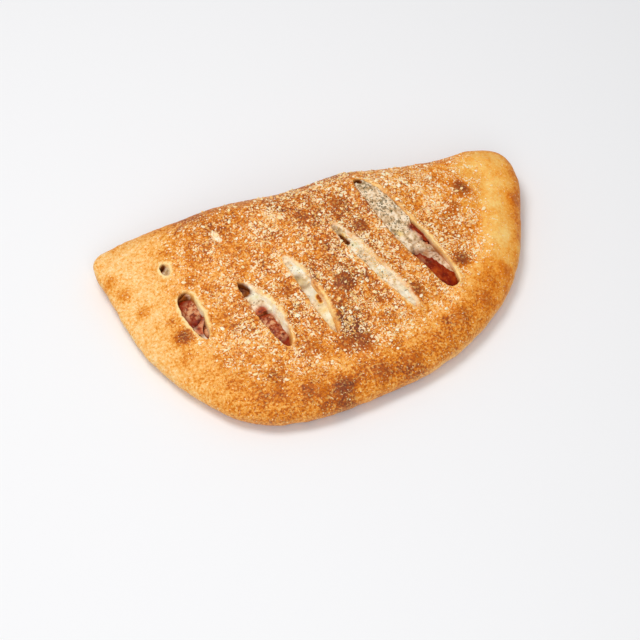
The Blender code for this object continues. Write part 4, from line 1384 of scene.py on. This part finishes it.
def crumb_places(random):
    """Spread places for the largest chips: x, y and size, from tries that keep off slashes and each other."""
    places = []
    while len(places) < CRUMB_COUNT:
        size = CRUMB_SIZES[0] + (CRUMB_SIZES[1] - CRUMB_SIZES[0]) * len(places) / CRUMB_COUNT
        x, y = random.uniform(*CRUMB_FIELD)
        angle, inward = polar(x, y)
        wanted = smooth((inward - 14.0 + 7.0 * fold_share(angle)) / 12.0)
        wanted = wanted * smooth((x - CRUMB_FIELD[0][0]) / 30.0) * smooth((CRUMB_FIELD[1][0] - x) / 18.0)
        if random.random() > wanted or slit_distance(x, y) < CRUMB_CLEARANCE:
            continue
        if all(math.hypot(x - px, y - py) > CRUMB_SPACING * (size + other) for px, py, other in places):
            places.append((x, y, size))
    return np.array(places)


random = np.random.default_rng(CRUMB_SEED)
large = crumb_places(random)
tries = random.uniform(*CHIP_FIELD, (CHIP_TRIES, 2))
chance = CHIP_CHANCE * cheese_density(*tries.T) ** 1.2 * off_blisters(*tries.T)
kept = random.random(CHIP_TRIES) < chance
kept &= (slit_distance(*tries.T) > 0.9) & (polar(*tries.T)[1] > 3.0)
small = tries[kept]
small_sizes = CHIP_SIZE + CHIP_MORE * random.random(len(small)) ** 2.0
print("chips:", len(large), "large and", len(small), "small")

# %% [markdown]
# Three more chips lie in the torn vent. Each chip's own height, forms and browning are drawn at random, and
# it is set a little into the crust, as the real ones baked onto it.

# %% The grated cheese
BALL = twenty_faces()
LARGE_SHARE = 0.8  # of their size in the solid, for the large chips
TORN_VENT_CHIPS = ((-53.2, 39.5, 4.2), (-52.2, 36.2, 3.4), (-54.2, 42.4, 2.6))
large = np.concatenate([large, np.array(TORN_VENT_CHIPS)])
chip_x, chip_y = np.concatenate([large[:, :2], small]).T
chip_sizes = np.concatenate([large[:, 2] * LARGE_SHARE, small_sizes])
chip_flat = np.concatenate([random.uniform(0.4, 0.8, len(large)), random.uniform(0.3, 0.7, len(small))])
chip_places = np.stack([chip_x, chip_y, fine_top(chip_x, chip_y) + 0.1 * chip_sizes], axis=1)
grated = object_from("grated_cheese", *chips(BALL, chip_places, chip_sizes, chip_flat, 0.42, random))
grated.data.shade_flat()
paint(grated, baked=np.repeat(random.random(len(chip_sizes)) ** 1.6, len(BALL[0])))
print("grated cheese:", len(grated.data.polygons), "faces")

# %% [markdown]
# Between the chips lies the finest of the grating, crumbs of half a millimetre to one. There are so many that
# each has only eight faces. They follow the same density in small clumps, keep off the dark blisters, and lie
# on the skirts of a slash as well, where the cheese in it is nearly flush with the crust.

# %% The finest crumbs
FINE_TRIES = 120000
FINE_MOST = 24000
FINE_CHANCE = 0.62
FINE_SIZE, FINE_MORE = 0.5, 0.6
EIGHT = eight_faces()
tries = random.uniform(*CHIP_FIELD, (FINE_TRIES, 2))
tries_top = np.maximum(opened_top(*tries.T), filling_top(*tries.T))
flush = tries_top > crust_top(*tries.T) - 1.1
clump = smooth(0.42 + 1.5 * noise(tries[:, 0], tries[:, 1], 12.0, 1.8))
chance = FINE_CHANCE * cheese_density(*tries.T) ** 0.8 * clump * off_blisters(*tries.T)
kept = random.random(FINE_TRIES) < chance
kept &= (slit_distance(*tries.T) > 0.7) | ((marked(*tries.T, SKIRTS) > 0.3) & flush)
kept &= polar(*tries.T)[1] > 2.0
fine = tries[kept][:FINE_MOST]
fine_sizes = FINE_SIZE + FINE_MORE * random.random(len(fine)) ** 1.5
fine_places = np.column_stack([fine, tries_top[kept][:FINE_MOST] + 0.1 * fine_sizes])
fine_flat = random.uniform(0.5, 1.0, len(fine))
crumbs = object_from("fine_crumbs", *chips(EIGHT, fine_places, fine_sizes, fine_flat, 0.3, random))
crumbs.data.shade_flat()
paint(crumbs, baked=np.repeat(0.25 + 0.75 * random.random(len(fine)), len(EIGHT[0])))
print("fine crumbs:", len(crumbs.data.polygons), "faces")

# %% [markdown]
# Some chips stayed cream, others browned. One colour for all of them would look like plastic, so each chip
# has its own number, and a little noise varies it within the chip.

# %% The grated cheese's finish
grated_finish, tree, shader = new_finish(
    "grated cheese", Roughness=0.55, Subsurface_Weight=0.15, Subsurface_Scale=0.001
)
shade = combined(tree, "ADD", painted(tree, "baked"), combined(tree, "SUBTRACT", grain(tree, 0.7), 0.5))
shade = ramp(tree, shade, (
    (0.00, colour(255, 241, 210)), (0.40, colour(255, 225, 168)), (0.75, colour(254, 202, 126)),
    (1.00, colour(242, 170, 84)),
))
set_shader(shader, Base_Color=shade, Normal=bumped(tree, grain(tree, 0.4), 0.15, 0.5))
for piece in (grated, crumbs):
    piece.data.materials.append(grated_finish)
    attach(piece, "root")
print("the grated cheese's graph has", len(tree.nodes), "nodes")

# %% [markdown]
# ## Herbs
#
# Chopped dried herbs are mixed into the ricotta. Leaf-shaped cards would be the usual way, but these are
# crumbled to about a millimetre and less. So they are the same kind of chip, only thin as a leaf and dark
# green, and they lie on the filling where it is marked as herby.

# %% Herb flakes
HERB_TRIES = 7000
HERB_SEED = 23
HERB_FIELD = ((-86, -32), (60, 50))
HERB_FLATNESS = 0.18
HERB_SIZE, HERB_MORE = 0.45, 0.7
random = np.random.default_rng(HERB_SEED)
tries = random.uniform(*HERB_FIELD, (HERB_TRIES, 2))
kept = (random.random(HERB_TRIES) < marked(*tries.T, HERBY)) & (slit_distance(*tries.T) < -0.6)
kept &= off_slices(*tries.T) > 0.6
herb_places = np.column_stack([tries[kept], filling_top(*tries[kept].T) + 0.05])
herb_sizes = HERB_SIZE + HERB_MORE * random.random(len(herb_places)) ** 2
herb_flat = np.full(len(herb_places), HERB_FLATNESS)
herbs = object_from("herb_flakes", *chips(BALL, herb_places, herb_sizes, herb_flat, 0.3, random))
herb_finish, tree, shader = new_finish("dried herbs", Roughness=0.6)
green = ramp(tree, grain(tree, 0.8), ((0.3, colour(84, 80, 38)), (0.7, colour(138, 124, 66))))
set_shader(shader, Base_Color=green, Normal=bumped(tree, grain(tree, 0.5), 0.1, 0.5))
herbs.data.materials.append(herb_finish)
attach(herbs, "root")
print("herb flakes:", len(herb_places))

# %% [markdown]
# ## Floor, light and camera
#
# The roll lies on a plain pale floor. A bent backdrop would do as well, but one flat face is enough, as long
# as it is wide. It is stage, and no part of the food.

# %% The floor
FLOOR_HALF = 3.0  # metres
floor_corners = [(x * FLOOR_HALF, y * FLOOR_HALF, 0.0) for x, y in ((-1, -1), (1, -1), (1, 1), (-1, 1))]
floor_mesh = bpy.data.meshes.new("floor")
floor_mesh.from_pydata(floor_corners, [], [(0, 1, 2, 3)])
floor = bpy.data.objects.new("floor", floor_mesh)
bpy.context.scene.collection.objects.link(floor)
floor_finish, tree, shader = new_finish("pale floor", Base_Color=colour(243, 244, 247), Roughness=0.9)
floor_mesh.materials.append(floor_finish)
print("floor:", 2 * FLOOR_HALF, "m wide")

# %% [markdown]
# The light in the photograph is soft and comes from above. A single sun would cast hard shadows, so there is
# a square lamp high above, a little behind and to the left, a larger and weaker one in front, and a plain
# white world that fills the shadows. Lamp sizes are in metres and powers in watts.

# %% Light
WORLD_STRENGTH = 0.48


def soft_lamp(name, place, size, power, tint):
    """A square lamp that faces the roll."""
    light = bpy.data.lights.new(name, "AREA")
    light.size = size
    light.energy = power
    light.color = tint
    lamp = bpy.data.objects.new(name, light)
    lamp.location = place
    lamp.rotation_euler = (Vector((0.0, 0.0, 0.0)) - Vector(place)).to_track_quat("-Z", "Y").to_euler()
    bpy.context.scene.collection.objects.link(lamp)
    return lamp


soft_lamp("key", place=(-0.25, 0.2, 0.95), size=0.4, power=4.3, tint=(1.0, 0.98, 0.95))
soft_lamp("front", place=(-0.25, -0.8, 0.75), size=0.7, power=3.3, tint=(1.0, 0.99, 0.97))
world = bpy.data.worlds.new("studio")
world.use_nodes = True
background = world.node_tree.nodes["Background"]
background.inputs["Color"].default_value = (1.0, 1.0, 1.0, 1.0)
background.inputs["Strength"].default_value = WORLD_STRENGTH
bpy.context.scene.world = world
bpy.context.scene.view_settings.view_transform = "Standard"

# %% [markdown]
# The camera looks down at 52 degrees with a long lens, and the roll is turned 18.5 degrees to it. Both were
# worked out from the photograph, so that the picture can be laid over it.

# %% The camera
CAMERA_DROP = 52.3  # degrees below the horizon
CAMERA_TURN = 18.5  # degrees between the fold and the picture's base
CAMERA_DISTANCE = 1.0
CAMERA_LENS = 109.125
LOOK_AT = Vector((-0.01249, -0.00651, 0.0))
camera_data = bpy.data.cameras.new("camera")
camera_data.lens = CAMERA_LENS
camera = bpy.data.objects.new("camera", camera_data)
camera.rotation_euler = (math.radians(90.0 - CAMERA_DROP), 0.0, -math.radians(CAMERA_TURN))
bpy.context.scene.collection.objects.link(camera)
bpy.context.view_layer.update()
camera.location = LOOK_AT + camera.rotation_euler.to_matrix() @ Vector((0.0, 0.0, CAMERA_DISTANCE))
bpy.context.scene.camera = camera
print("camera at", [round(value, 4) for value in camera.location])
